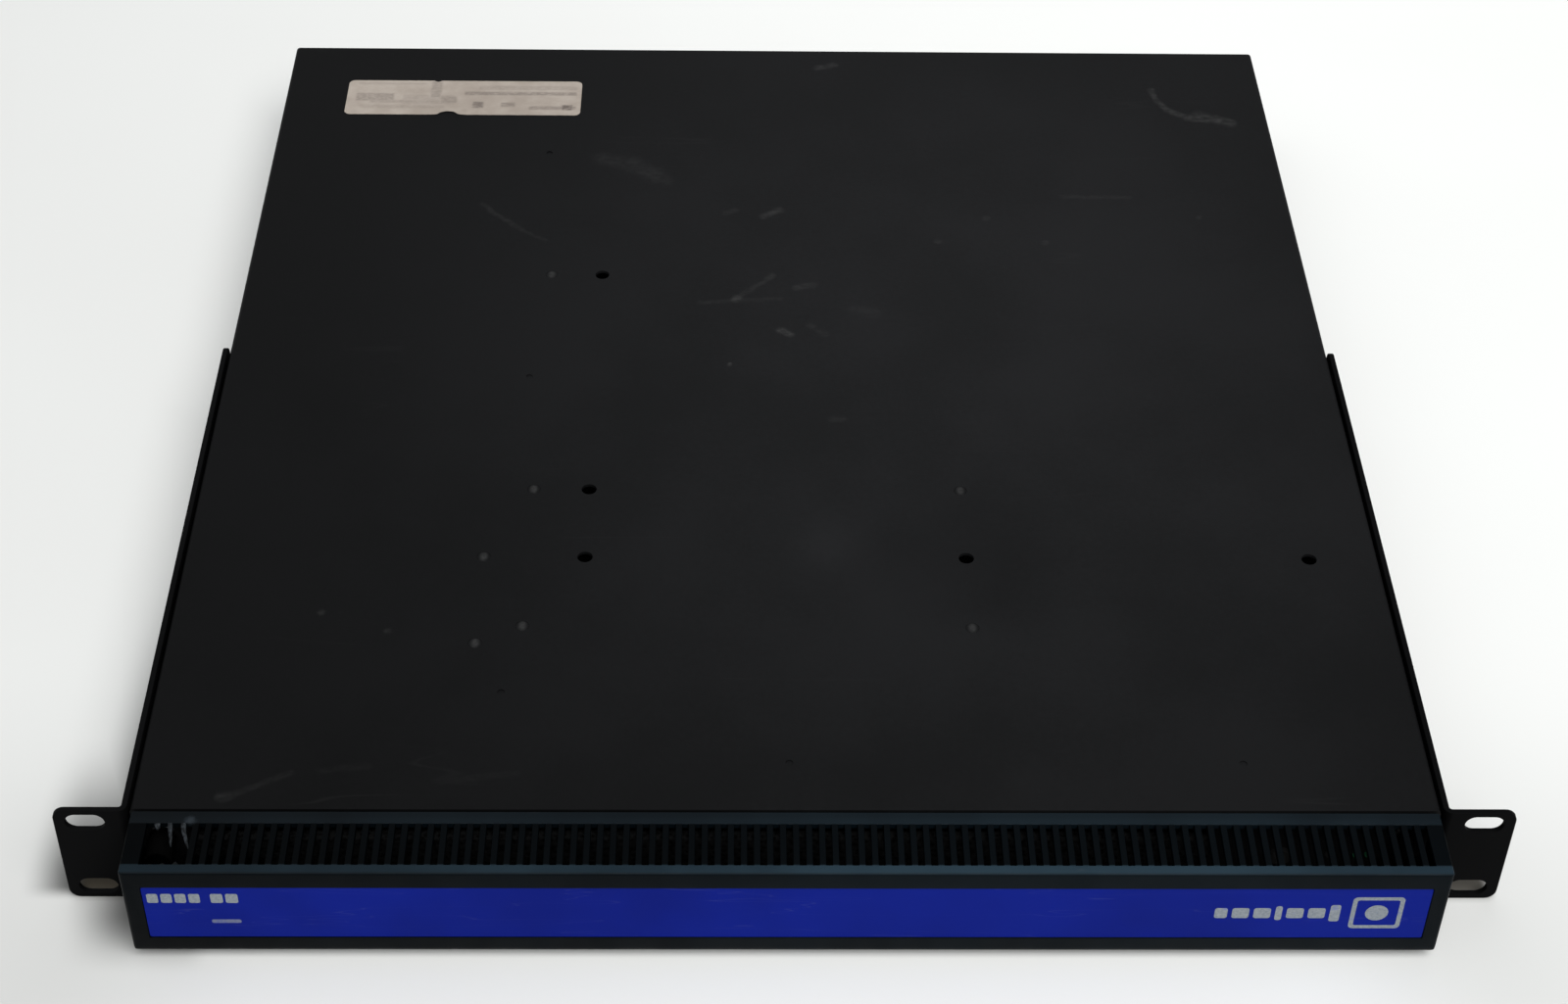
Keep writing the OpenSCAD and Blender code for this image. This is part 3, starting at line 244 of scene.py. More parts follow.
# Strokes on the pan: start and end in x and y, width and strength
PAN_STROKES = [
    (167, 428, 168, 420, 1.6, 0.45), (168, 420, 172, 412, 1.8, 0.50), (172, 412, 180, 406, 2.0, 0.50),
    (180, 406, 194, 404, 2.4, 0.60), (186, 408, 199, 402, 3.2, 0.45),
    (-75, 372, -62, 368, 5.0, 0.16), (-62, 368, -52, 360, 6.0, 0.20), (-52, 360, -47, 356, 4.0, 0.14),
    (-124, 338, -106, 320, 1.5, 0.20), (-106, 320, -96, 313, 1.2, 0.12),
    (-6, 331, 1, 335, 2.2, 0.45), (-22, 333, -18, 335, 1.8, 0.20),
    (-18, 274, -17, 275, 2.4, 0.60), (-18, 274, -3, 290, 1.5, 0.22), (-5, 288, -3, 290, 1.8, 0.30),
    (-32, 272, 0, 275, 1.6, 0.16), (0.5, 254, 3, 252, 2.3, 0.75), (7, 282, 14, 284, 2.0, 0.28),
    (12, 258, 18, 252, 2.0, 0.16), (30, 268, 38, 266, 3.6, 0.12), (120, 346, 149, 346, 1.6, 0.16),
    (19, 444, 26, 446, 2.2, 0.42), (-187, 6, -184, 7, 2.2, 0.26), (-184, 7, -165, 17, 1.5, 0.13),
    (-156, 18, -140, 20, 1.8, 0.06), (-115, 13, -90, 17, 1.6, 0.07), (-20, 232, -20, 233, 0.9, 0.95),
    (20, 200, 23, 200, 2.2, 0.16),
]
MARK_STRENGTH = 0.52
# Middles of the stud heads that show in the pan
STUD_HEADS = [(-92.4, 159), (-92.4, 290), (66, 159), (-92.4, 86.8), (66, 86.4),
              (-108.4, 122.3), (-108.4, 78.2)]
# Middles of the small specks on the pan
PAN_SPECKS = [(110, 313), (87, 330), (66, 314), (177, 332), (-164, 93), (-139, 84)]


def coat_parts(look):
    """Shared values of the powder coat: colour, roughness and grain heights."""
    cloud = look.noise(95, 3.0, 0.55)
    fine = look.noise(2.4, 3.0, 0.7)
    grain = look.noise(0.75, 2.0, 0.6)
    tone = look.plus(look.times(cloud, 0.75), look.times(fine, 0.25))
    colour = look.blend(tone, 0.36, 0.64, COAT_DARK, COAT_LIGHT)
    dots = look.fall(look.cells(1.9), 0.0, 0.16)
    colour = look.mix(look.times(dots, 0.22), colour, grey(0.018))
    rough = look.step(cloud, 0.3, 0.7, 0.50, 0.60)
    return colour, rough, [(grain, 0.035), (look.noise(0.3, 1.0), 0.008)]


def powder_coat():
    look = Look("powder_coat")
    colour, rough, bumps = coat_parts(look)
    rub = look.noise(26, 4.0, 0.6)
    streak = look.noise(3.2, 3.0, 0.6, (0.35, 1, 3))
    rubbed = look.times(look.step(rub, 0.60, 0.78), look.step(streak, 0.55, 0.75))
    colour = look.mix(look.times(rubbed, 0.22), colour, SCUFF)
    return look.surface(colour, rough, shine=COAT_SHINE, bumps=bumps)


def bracket_coat():
    """The coat on the mounting brackets: the pan's coat darkened by about half as painted shade, with fewer
    rubbed marks.
    """
    look = Look("bracket_coat")
    colour, rough, bumps = coat_parts(look)
    rubbed = look.step(look.noise(5, 4.0, 0.7, (1, 0.3, 1)), 0.66, 0.80, 0.0, 0.10)
    # painted shade: the coat made about half as bright
    colour = look.mix(rubbed, look.tint(colour, 0.52), SCUFF)
    return look.surface(colour, rough, shine=0.02, bumps=bumps)


def pan_coat():
    """The powder coat of the pan, with its scratches, scuffs and smudges."""
    look = Look("pan_coat")
    colour, rough, bumps = coat_parts(look)
    jitter = look.vector("SCALE", look.vector("SUBTRACT", look.noise_colour(9), (0.5, 0.5, 0.5)), scale=3.0)
    flat = look.vector("MULTIPLY", look.vector("ADD", look.place, jitter), (1, 1, 0))
    crumbs = look.step(look.noise(2.0, 3.0, 0.6, (0.6, 1, 1)), 0.30, 0.70, 0.25, 1.0)
    marks = 0.0
    for x0, y0, x1, y1, width, strength in PAN_STROKES:
        stroke = look.stroke(flat, (x0, y0, 0), (x1, y1, 0), width * 1.3)
        marks = look.most(marks, look.times(stroke, strength * MARK_STRENGTH))
    for x, y in PAN_SPECKS:
        spot = look.step(look.vector("DISTANCE", flat, (x, y, 0)), 0.6, 2.4, 0.13, 0.0)
        marks = look.most(marks, spot)
    on_top = look.step(look.z, TOP - 1.0, TOP - 0.3)
    marks = look.times(marks, crumbs, on_top)
    hair = look.hairlines(look.noise(30, 2.0, 0.5, (0.08, 1, 1)), 0.505)
    hair = look.times(hair, look.step(look.noise(55, 1.0), 0.56, 0.7))
    marks = look.most(marks, look.times(hair, 0.035))
    smudge = look.plus(look.away(flat, (63, 94, 0), (0.9, 0.75, 0)), look.times(look.noise(22, 3.0), 22))
    smudge = look.step(smudge, 22, 52, 0.80, 1.0)
    haze_and_painted_sheen = look.plus(look.away(flat, (14, 104, 0), (1.0, 0.8, 0)), look.times(look.noise(12, 3.0), 12))
    haze_and_painted_sheen = look.step(haze_and_painted_sheen, 6, 24, 1.22, 1.0)
    # painted sheen, brightest right of the middle and fading to painted shade further out
    dust_and_painted_light = look.away(flat, (85, 175, 0), (1.0, 0.7, 0))
    haze_and_painted_sheen = look.times(haze_and_painted_sheen, look.step(dust_and_painted_light, 20, 330, 1.75, 0.55))
    colour = look.tint(colour, look.times(smudge, haze_and_painted_sheen))
    colour = look.mix(marks, colour, SCUFF)
    rough = look.plus(rough, look.times(marks, 0.15))
    return look.surface(colour, rough, shine=COAT_SHINE, bumps=bumps)


def bezel_plastic():
    look = Look("bezel_plastic")
    cloud = look.noise(45, 3.0)
    colour = look.blend(cloud, 0.35, 0.65, (0.0028, 0.0060, 0.0088, 1), (0.0046, 0.0094, 0.0134, 1))
    fleck = look.fall(look.cells(1.1), 0.0, 0.2)
    colour = look.mix(look.times(fleck, 0.22), colour, grey(0.018, -0.2))
    streak = look.noise(5, 4.0, 0.65, (0.25, 1, 1))
    scuffed = look.times(look.step(streak, 0.62, 0.75), look.step(look.noise(30, 1.0), 0.5, 0.7))
    colour = look.mix(look.times(scuffed, 0.08), colour, SCUFF)
    # painted light: a painted highlight along the rim of the upper face and painted shade on the front face;
    # the ribs darker, the strip at the rear a little darker, and the whole darker towards the left end
    ribs = look.window(look.y, VENT_FRONT, VENT_REAR, 0.3)
    front_and_rib_darkening = look.times(look.inverse(look.times(ribs, 0.80)),
                       look.step(look.y, BEZEL_FRONT + 0.2, BEZEL_FRONT + 1.4, 0.42, 1.0),
                       look.step(look.y, -3.8, -1.4, 1.0, 0.80))
    rim = look.times(look.window(look.y, BEZEL_FRONT + 0.5, VENT_FRONT, 0.5),
                     look.step(look.z, TOP - 1.2, TOP - 0.3))
    dust_and_painted_light = look.plus(front_and_rib_darkening, look.times(rim, 1.9))
    colour = look.tint(colour, look.times(dust_and_painted_light, look.step(look.x, -230, 60, 0.45, 1.2)))
    # plastic whitened where it was bent beside the broken ribs
    near = look.vector("DISTANCE", look.place, WHITENED)
    near = look.plus(near, look.times(look.noise(1.6, 3.0, 0.7), 3.4))
    colour = look.mix(look.step(near, 1.6, 4.2, 0.30, 0.0), colour, grey(0.08, -0.2))
    # the unlit inside
    inner = BEZEL_FRONT + BEZEL_WALL
    inside = look.times(look.fall(look.z, TOP - BEZEL_WALL - 0.2, TOP - BEZEL_WALL),
                        look.step(look.y, inner, inner + RECESS),
                        look.step(look.z, BEZEL_FLOOR + 0.1, BEZEL_FLOOR + 0.3))
    colour = look.tint(colour, look.inverse(look.times(inside, 0.85)))
    rough = look.step(look.noise(14, 3.0), 0.35, 0.65, 0.42, 0.54)
    shine = look.times(look.step(inside, 0.0, 1.0, 0.085, 0.01), look.step(front_and_rib_darkening, 0.0, 1.0, 0.30, 1.0))
    return look.surface(colour, rough, shine=shine, bumps=[(look.noise(0.55, 2.0, 0.6), 0.022)])


def torn_plastic():
    """Broken plastic: the bezel's black, whitened where it was bent."""
    look = Look("torn_plastic")
    crazed = look.step(look.noise(1.3, 4.0, 0.7), 0.40, 0.62)
    colour = look.mix(crazed, grey(0.006, -0.15), grey(0.030, -0.15))
    # the stumps at the outer end and along the front broke off without bending
    stumps = look.most(look.fall(look.x, -207.0, -206.2),
                       look.fall(look.y, VENT_FRONT + 2.2, VENT_FRONT + 3.2))
    colour = look.mix(stumps, colour, grey(0.004, -0.2))
    return look.surface(colour, 0.6, shine=0.08, bumps=[(look.noise(0.4, 3.0), 0.05)])


def plate_blue():
    look = Look("plate_blue")
    cloud = look.noise(60, 3.0, 0.6)
    colour = look.blend(cloud, 0.3, 0.7, (0.0005, 0.0070, 0.165, 1), (0.0010, 0.0094, 0.205, 1))
    dust_and_painted_light = look.step(look.noise(0.8, 3.0, 0.8), 0.66, 0.8)
    colour = look.mix(look.times(dust_and_painted_light, 0.08), colour, (0.25, 0.28, 0.5, 1))
    hair = look.hairlines(look.noise(18, 3.0, 0.6, (0.12, 1, 2)), 0.506)
    colour = look.mix(look.times(hair, 0.05), colour, (0.2, 0.23, 0.45, 1))
    rough = look.step(look.noise(9, 4.0), 0.35, 0.7, 0.28, 0.40)
    return look.surface(colour, rough, shine=0.045, bumps=[(look.noise(1.6, 2.0), 0.012)])


def plate_ink():
    look = Look("plate_ink")
    worn = look.step(look.noise(0.9, 4.0, 0.75), 0.30, 0.70)
    colour = look.mix(worn, (0.17, 0.195, 0.23, 1), (0.27, 0.295, 0.315, 1))
    colour = look.mix(look.step(look.noise(3.5, 3.0), 0.62, 0.75, 0.0, 0.5), colour, (0.12, 0.15, 0.42, 1))
    small = look.times(look.fall(look.z, 0.0, 0.4), look.fall(look.x, 0.0, 1.0))
    colour = look.mix(look.times(small, 0.55), colour, (0.03, 0.04, 0.20, 1))
    return look.surface(colour, 0.5, shine=0.2, bumps=[(look.noise(0.5, 2.0), 0.01)])


# Smears on the label as shares of its size: start and end along it, start and end across it, strength
LABEL_SMEARS = [
    (0.04, 0.20, 0.40, 0.62, 0.42), (0.10, 0.38, 0.34, 0.42, 0.30), (0.06, 0.42, 0.18, 0.28, 0.20),
    (0.355, 0.40, 0.50, 0.98, 0.38), (0.24, 0.46, 0.30, 0.58, 0.22), (0.40, 0.47, 0.34, 0.54, 0.38),
    (0.50, 0.98, 0.58, 0.68, 0.48), (0.56, 0.98, 0.74, 0.86, 0.24), (0.78, 0.98, 0.16, 0.26, 0.48),
    (0.92, 0.965, 0.15, 0.30, 0.85), (0.54, 0.585, 0.20, 0.38, 0.70), (0.66, 0.72, 0.24, 0.36, 0.50),
    (0.04, 0.33, 0.88, 0.94, 0.20),
]


def label_film():
    """A worn paper label: its print is left as plain grey smears."""
    look = Look("label_film")
    low, high = box_mm("rating_label")
    fibre = look.noise(1.0, 4.0, 0.7, (0.5, 1, 1))
    cloud = look.noise(14, 3.0, 0.6)
    colour = look.blend(cloud, 0.3, 0.7, (0.315, 0.268, 0.228, 1), (0.395, 0.345, 0.300, 1))
    colour = look.mix(look.step(fibre, 0.35, 0.7, 0.0, 0.18), colour, (0.26, 0.22, 0.185, 1))
    width, depth = high.x - low.x, high.y - low.y
    rag = look.noise(1.7, 3.0, 0.7, (0.8, 1.4, 1))
    dirt = 0.0
    for start, end, lower, upper, strength in LABEL_SMEARS:
        mark = look.patch(low.x + start * width, low.x + end * width,
                          low.y + lower * depth, low.y + upper * depth, 0.7)
        dirt = look.most(dirt, look.times(mark, strength))
    dirt = look.times(dirt, look.step(rag, 0.34, 0.58, 0.45, 1.0))
    colour = look.mix(dirt, colour, (0.085, 0.066, 0.058, 1))
    return look.surface(colour, look.step(cloud, 0.3, 0.7, 0.5, 0.65), shine=0.3, bumps=[(fibre, 0.02)])


def steel_look(name, level, rough, warm, brushed):
    """Plated or bare sheet metal with a cloudy, faintly brushed finish."""
    look = Look(name)
    cloud = look.noise(7, 3.0, 0.6)
    lines = look.noise(0.5, 3.0, 0.7, brushed)
    tone = look.plus(look.times(cloud, 0.6), look.times(lines, 0.4))
    colour = look.blend(tone, 0.38, 0.62, grey(level * 0.78, warm), grey(level * 1.08, warm))
    rough = look.step(cloud, 0.3, 0.7, rough - 0.06, rough + 0.08)
    return look.surface(colour, rough, metal=1.0, bumps=[(lines, 0.006)])


def heatsink_blue():
    look = Look("heatsink_blue")
    lines = look.noise(0.6, 3.0, 0.6, (1, 0.1, 1))
    colour = look.blend(lines, 0.35, 0.65, (0.03, 0.13, 0.34, 1), (0.05, 0.19, 0.45, 1))
    return look.surface(colour, 0.38, metal=0.85, bumps=[(lines, 0.006)])


def stud_steel():
    """Zinc-plated posts whose heads took the pan's coat."""
    look = Look("stud_steel")
    coat, rough, bumps = coat_parts(look)
    spot = 0.0
    for x, y in STUD_HEADS:
        near = look.away(look.place, (x, y * 0.6, 0), (1, 0.6, 0))
        spot = look.most(spot, look.fall(near, 0.4, 2.0))
    rag = look.step(look.noise(1.2, 3.0, 0.7), 0.25, 0.7, 0.4, 1.0)
    coat = look.mix(look.times(spot, look.times(rag, 0.55)), coat, grey(0.05))
    painted = look.step(look.z, TOP - SHEET, TOP - SHEET + 0.3)
    colour = look.mix(painted, look.mix(look.noise(3, 3.0), grey(0.42), grey(0.6)), coat)
    rough = look.step(painted, 0.0, 1.0, 0.34, 0.58)
    return look.surface(colour, rough, metal=look.inverse(painted), shine=COAT_SHINE, bumps=bumps)


def screw_black():
    look = Look("screw_black")
    worn = look.step(look.noise(1.4, 4.0, 0.7), 0.55, 0.72)
    colour = look.mix(worn, grey(0.020, -0.03), grey(0.09))
    return look.surface(colour, look.step(worn, 0, 1, 0.36, 0.5), metal=0.7, shine=0.4,
                        bumps=[(look.noise(0.5, 2.0), 0.012)])


def filter_foam():
    look = Look("filter_foam")
    pores = look.cells(1.6, "SMOOTH_F1")
    colour = look.blend(pores, 0.15, 0.6, grey(0.001), grey(0.006, -0.04))
    return look.surface(colour, 0.95, shine=0.04, bumps=[(pores, 0.5)])


def plastic_look(name, dark, light, rough, grain, shine=0.4):
    """Moulded plastic with a slight texture and uneven tone."""
    look = Look(name)
    cloud = look.noise(12, 3.0)
    colour = look.blend(cloud, 0.35, 0.65, dark, light)
    rough = look.step(look.noise(5, 3.0), 0.35, 0.65, rough - 0.05, rough + 0.06)
    return look.surface(colour, rough, shine=shine, bumps=[(look.noise(grain, 2.0, 0.6), 0.015)])


def board_look(name, dark, light, copper, painted_shade_from):
    """A circuit board: solder mask over tracks and pads."""
    look = Look(name)
    tracks = [look.step(look.wave(axis, 1.27), 0.55, 0.75) for axis in (look.x, look.y)]
    field = look.step(look.noise(17, 1.0), 0.46, 0.52)
    run = look.plus(look.times(tracks[0], field), look.times(tracks[1], look.inverse(field)))
    run = look.times(run, look.step(look.noise(11, 2.0), 0.42, 0.5))
    colour = look.mix(run, dark, light)
    pads = look.fall(look.cells(5.1), 0.10, 0.13)
    colour = look.mix(pads, colour, copper)
    # painted shade: the side that faces the pan is made almost black and dull, as the inside of the chassis
    # lies in shade
    film_and_painted_shade = look.step(look.z, painted_shade_from - 0.1, painted_shade_from)
    colour = look.mix(film_and_painted_shade, colour, look.mix(look.noise(6, 2.0), grey(0.0006), grey(0.0014)))
    shine = look.step(film_and_painted_shade, 0.0, 1.0, 0.5, 0.02)
    return look.surface(colour, look.step(run, 0, 1, 0.30, 0.36), shine=shine, bumps=[(run, 0.03)])


def board_green():
    painted_shade_from = box_mm("motherboard")[1].z - 0.3
    return board_look("board_green", (0.010, 0.075, 0.032, 1), (0.016, 0.125, 0.052, 1), (0.55, 0.53, 0.5, 1),
                      painted_shade_from)


def supply_board_brown():
    """The supply's board and the parts that stand on it, told apart by place."""
    look = Look("supply_board_brown")
    low, high = box_mm("power_supply_board")
    board_low = high.z - 5.0
    cloud = look.noise(6, 3.0)
    brown = look.mix(cloud, (0.15, 0.085, 0.03, 1), (0.24, 0.14, 0.05, 1))
    cans = look.mix(look.window(look.z, low.z - 1, low.z + 0.6, 0.1), (0.012, 0.012, 0.03, 1), grey(0.5))
    copper = look.mix(look.wave(look.y, 0.9), (0.20, 0.07, 0.02, 1), (0.55, 0.26, 0.09, 1))
    parts = look.blend(look.x, -180, -178, cans, copper)
    parts = look.blend(look.x, -137, -136, parts, grey(0.5))
    colour = look.blend(look.z, board_low, board_low + 0.2, parts, brown)
    return look.surface(colour, look.step(cloud, 0.3, 0.7, 0.38, 0.5), shine=0.45,
                        bumps=[(look.noise(1.0, 2.0), 0.02)])


def processor_lid():
    look = Look("processor_lid")
    rim = box_mm("processor")[1].z - 3.3
    lid = look.fall(look.z, rim - 0.05, rim + 0.05)
    brushed = look.noise(0.6, 3.0, 0.6, (0.2, 1, 1))
    nickel = look.mix(brushed, grey(0.45, 0.03), grey(0.62, 0.03))
    colour = look.mix(lid, look.mix(look.noise(2, 2.0), (0.02, 0.12, 0.05, 1), (0.03, 0.17, 0.07, 1)), nickel)
    return look.surface(colour, 0.35, metal=lid, bumps=[(brushed, 0.006)])


def can_black():
    look = Look("can_black")
    foot = box_mm("capacitors")[0].z
    sleeve = look.step(look.z, foot + 1.2, foot + 1.6)
    film_and_painted_shade = look.mix(look.noise(4, 2.0), (0.012, 0.013, 0.03, 1), (0.02, 0.022, 0.05, 1))
    colour = look.mix(sleeve, grey(0.5), film_and_painted_shade)
    return look.surface(colour, 0.36, metal=look.inverse(sleeve), bumps=[(look.noise(0.8, 2.0), 0.01)])


def contact_gold():
    look = Look("contact_gold")
    tone = look.noise(1.2, 3.0)
    colour = look.mix(tone, (0.62, 0.40, 0.13, 1), (0.85, 0.60, 0.24, 1))
    return look.surface(colour, look.step(tone, 0.3, 0.7, 0.2, 0.32), metal=1.0)


def lamp_window(name, tint):
    look = Look(name)
    ripple = look.noise(0.7, 2.0)
    colour = look.mix(ripple, tuple(c * 0.7 for c in tint) + (1,), tint + (1,))
    return look.surface(colour, look.step(ripple, 0.3, 0.7, 0.2, 0.3), shine=0.5, bumps=[(ripple, 0.02)])


# Plain metals: level, roughness, warmth and how the brushing is stretched
METALS = {
    "zinc_steel": (0.55, 0.34, -0.015, (1, 1, 0.3)), "port_nickel": (0.62, 0.26, 0.02, (0.3, 1, 1)),
    "drive_metal": (0.42, 0.45, 0.0, (1, 1, 1)), "supply_metal": (0.50, 0.36, -0.01, (0.15, 1, 1)),
    "heatsink_aluminium": (0.60, 0.40, 0.0, (1, 0.1, 1)),
}
# Plain plastics: dark tone, light tone, roughness, grain size and shine
PLASTICS = {
    "dark_plastic": (grey(0.003), grey(0.006), 0.48, 0.5, 0.06),
    # painted shade: the clips get a darker copy of the dark plastic, as they sit in shade inside the bezel
    "clip_painted_shade": (grey(0.0008), grey(0.0016), 0.48, 0.5, 0.01),
    "chip_black": (grey(0.014), grey(0.024), 0.55, 0.3, 0.4),
    "button_grey": (grey(0.012), grey(0.018), 0.40, 0.5, 0.2),
    "cable_jacket": (grey(0.012), grey(0.020), 0.42, 1.5, 0.4),
    "latch_ivory": ((0.60, 0.58, 0.50, 1), (0.70, 0.68, 0.60, 1), 0.42, 0.5, 0.4),
    "riser_tan": ((0.34, 0.20, 0.06, 1), (0.45, 0.28, 0.09, 1), 0.45, 0.5, 0.4),
    "port_blue": ((0.010, 0.05, 0.30, 1), (0.014, 0.07, 0.38, 1), 0.4, 0.5, 0.4),
}
LOOKS = {name: steel_look(name, *values) for name, values in METALS.items()}
LOOKS.update({name: plastic_look(name, *values) for name, values in PLASTICS.items()})
LOOKS.update({make.__name__: make() for make in (
    powder_coat, bracket_coat, pan_coat, bezel_plastic, torn_plastic, plate_blue, plate_ink, label_film,
    heatsink_blue, stud_steel, screw_black, filter_foam, board_green, supply_board_brown, processor_lid,
    can_black, contact_gold)})


# ---------- mesh building ----------

class Skin:
    """Collects the faces of a piece, in millimetres, and shares the corners that meet."""

    def __init__(self):
        self.mesh = bmesh.new()
        self.corners = {}

    def corner(self, point):
        key = tuple(round(value, 3) for value in point)
        if key not in self.corners:
            self.corners[key] = self.mesh.verts.new(point)
        return self.corners[key]

    def face(self, points):
        ring = []
        for point in points:
            corner = self.corner(point)
            if corner not in ring:
                ring.append(corner)
        if len(ring) > 2 and self.mesh.faces.get(ring) is None:
            self.mesh.faces.new(ring)

    def band(self, ring, following):
        """Joins two closed rings of the same number of points."""
        for i in range(len(ring)):
            j = (i + 1) % len(ring)
            self.face([ring[i], ring[j], following[j], following[i]])

    def loft(self, rings):
        """A closed solid through rings, capped at both ends."""
        for ring, following in zip(rings, rings[1:]):
            self.band(ring, following)
        self.face(rings[0])
        self.face(rings[-1])

    def extrude(self, outline, y0, y1):
        """A prism along Y with an outline of (x, z)."""
        self.loft([[(x, y, z) for x, z in outline] for y in (y0, y1)])

    def piece(self, name, body, slot, look=None, stands_for=(), bevel=0.0):
        """Makes the object, puts it on its body and gives it its finish."""
        mesh = self.mesh
        bmesh.ops.remove_doubles(mesh, verts=mesh.verts, dist=0.002)
        bmesh.ops.dissolve_degenerate(mesh, edges=mesh.edges, dist=0.001)
        bmesh.ops.recalc_face_normals(mesh, faces=mesh.faces)
        for vert in mesh.verts:
            vert.co *= MM
        data = bpy.data.meshes.new(name)
        mesh.to_mesh(data)
        mesh.free()
        made = add_object(name, data)
        data.materials.append(look or LOOKS[slot])
        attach(made, body)
        if stands_for:
            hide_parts(*stands_for)
        round_edges(made, bevel)


SHARP = math.radians(32)


def normals_group(name, keep_sharp):
    """A node group that joins touching corners and resets the shading of the mesh.

    With keep_sharp, edges above the SHARP angle stay crisp; a bevel needs them smooth.
    """
    group = bpy.data.node_groups.new(name, "GeometryNodeTree")
    for direction in ("INPUT", "OUTPUT"):
        group.interface.new_socket("Geometry", in_out=direction, socket_type="NodeSocketGeometry")
    tree = Tree(group)
    entry = tree.node("NodeGroupInput")
    merge = tree.node("GeometryNodeMergeByDistance", [(0, entry.outputs[0]), ("Distance", 0.002 * MM)])
    reset = tree.node("GeometryNodeSetMeshNormal", mode="SHARPNESS")
    tree.feed(reset.inputs["Mesh"], merge.outputs[0])
    tree.node("NodeGroupOutput", [(0, reset.outputs[0])])
    if keep_sharp:
        angle = tree.node("GeometryNodeInputMeshEdgeAngle").outputs["Unsigned Angle"]
        steep = tree.node("FunctionNodeCompare", [(0, angle), (1, SHARP)], operation="GREATER_THAN")
        tree.feed(reset.inputs["Edge Sharpness"], steep.outputs[0])
    return group


SMOOTH_ALL = normals_group("smooth_all", False)
SMOOTH_BY_ANGLE = normals_group("smooth_by_angle", True)


def round_edges(item, width):
    """Rounds the sharp edges of a piece and shades it smoothly between them."""
    shading = item.modifiers.new("shading", "NODES")
    shading.node_group = SMOOTH_ALL if width else SMOOTH_BY_ANGLE
    if width:
        flats = item.modifiers.new("flats", "DECIMATE")
        flats.decimate_type = "DISSOLVE"
        flats.angle_limit = math.radians(0.4)
        bevel = item.modifiers.new("edges", "BEVEL")
        bevel.width = width * MM
        bevel.segments = 2
        bevel.limit_method = "ANGLE"
        bevel.angle_limit = SHARP
        bevel.use_clamp_overlap = False
        bevel.harden_normals = True


def arc(centre, radius, start, end, steps):
    """Points of an arc in a plane, angles in degrees."""
    turns = [math.radians(start + (end - start) * i / steps) for i in range(steps + 1)]
    return [(centre[0] + radius * math.cos(a), centre[1] + radius * math.sin(a)) for a in turns]


def round_rect(cx, cy, width, height, radius, steps=5, lean=0.0):
    """Outline of a rectangle with round corners; lean makes it a D that is narrower at the bottom."""
    x, y = width / 2 - radius, height / 2 - radius
    points = []
    for sx, sy, start in ((1, 1, 0), (-1, 1, 90), (-1, -1, 180), (1, -1, 270)):
        inset = lean if sy < 0 else 0.0
        points += arc((cx + sx * (x - inset), cy + sy * y), radius, start, start + 90, steps)
    return points


# ---------- bezel ----------

PLATE_LOW, PLATE_HIGH = box_mm("front_plate")
VENT_COUNT, VENT_PITCH, RIB = 99, 4.25, 2.1
PLATE_GAP = 0.2
VENT_X0 = (PLATE_LOW.x + PLATE_HIGH.x - VENT_COUNT * VENT_PITCH + RIB) / 2
MISSING_RIBS = 3
# Roundings: along the front's lower and upper edge, and at the ends towards the floor, the top and the front
LOWER_ROUND, UPPER_ROUND = 3.8, 1.0
END_LOW_ROUND, END_TOP_ROUND, END_FRONT_ROUND = 4.0, 0.8, 1.5
POST_R, POST_INSET = 4.0, 4.6


def rounded_drop(x, half, radius):
    """How far a rounded edge has dropped at x, near the end at half."""
    past = min(abs(x) - (half - radius), radius)
    return radius - math.sqrt(radius * radius - past * past) if past > 0 else 0.0


def vent_start(i):
    return VENT_X0 + i * VENT_PITCH


def bezel_stations():
    """Cuts along the bezel: its round ends, its inner end faces and the edges of each vent."""
    half = BEZEL_HIGH.x
    ends = {half - BEZEL_WALL}
    for radius, steps in ((END_LOW_ROUND, 6), (END_FRONT_ROUND, 4)):
        ends |= {half - radius + radius * math.sin(math.radians(90 * i / steps)) for i in range(steps + 1)}
    vents = [edge for i in range(VENT_COUNT) for edge in (vent_start(i), vent_start(i) + VENT_PITCH - RIB)]
    cuts = sorted([-x for x in ends] + vents + list(ends))
    kept = [cuts[0]]
    for x in cuts[1:]:
        if x - kept[-1] > 0.04:
            kept.append(x)
    return kept


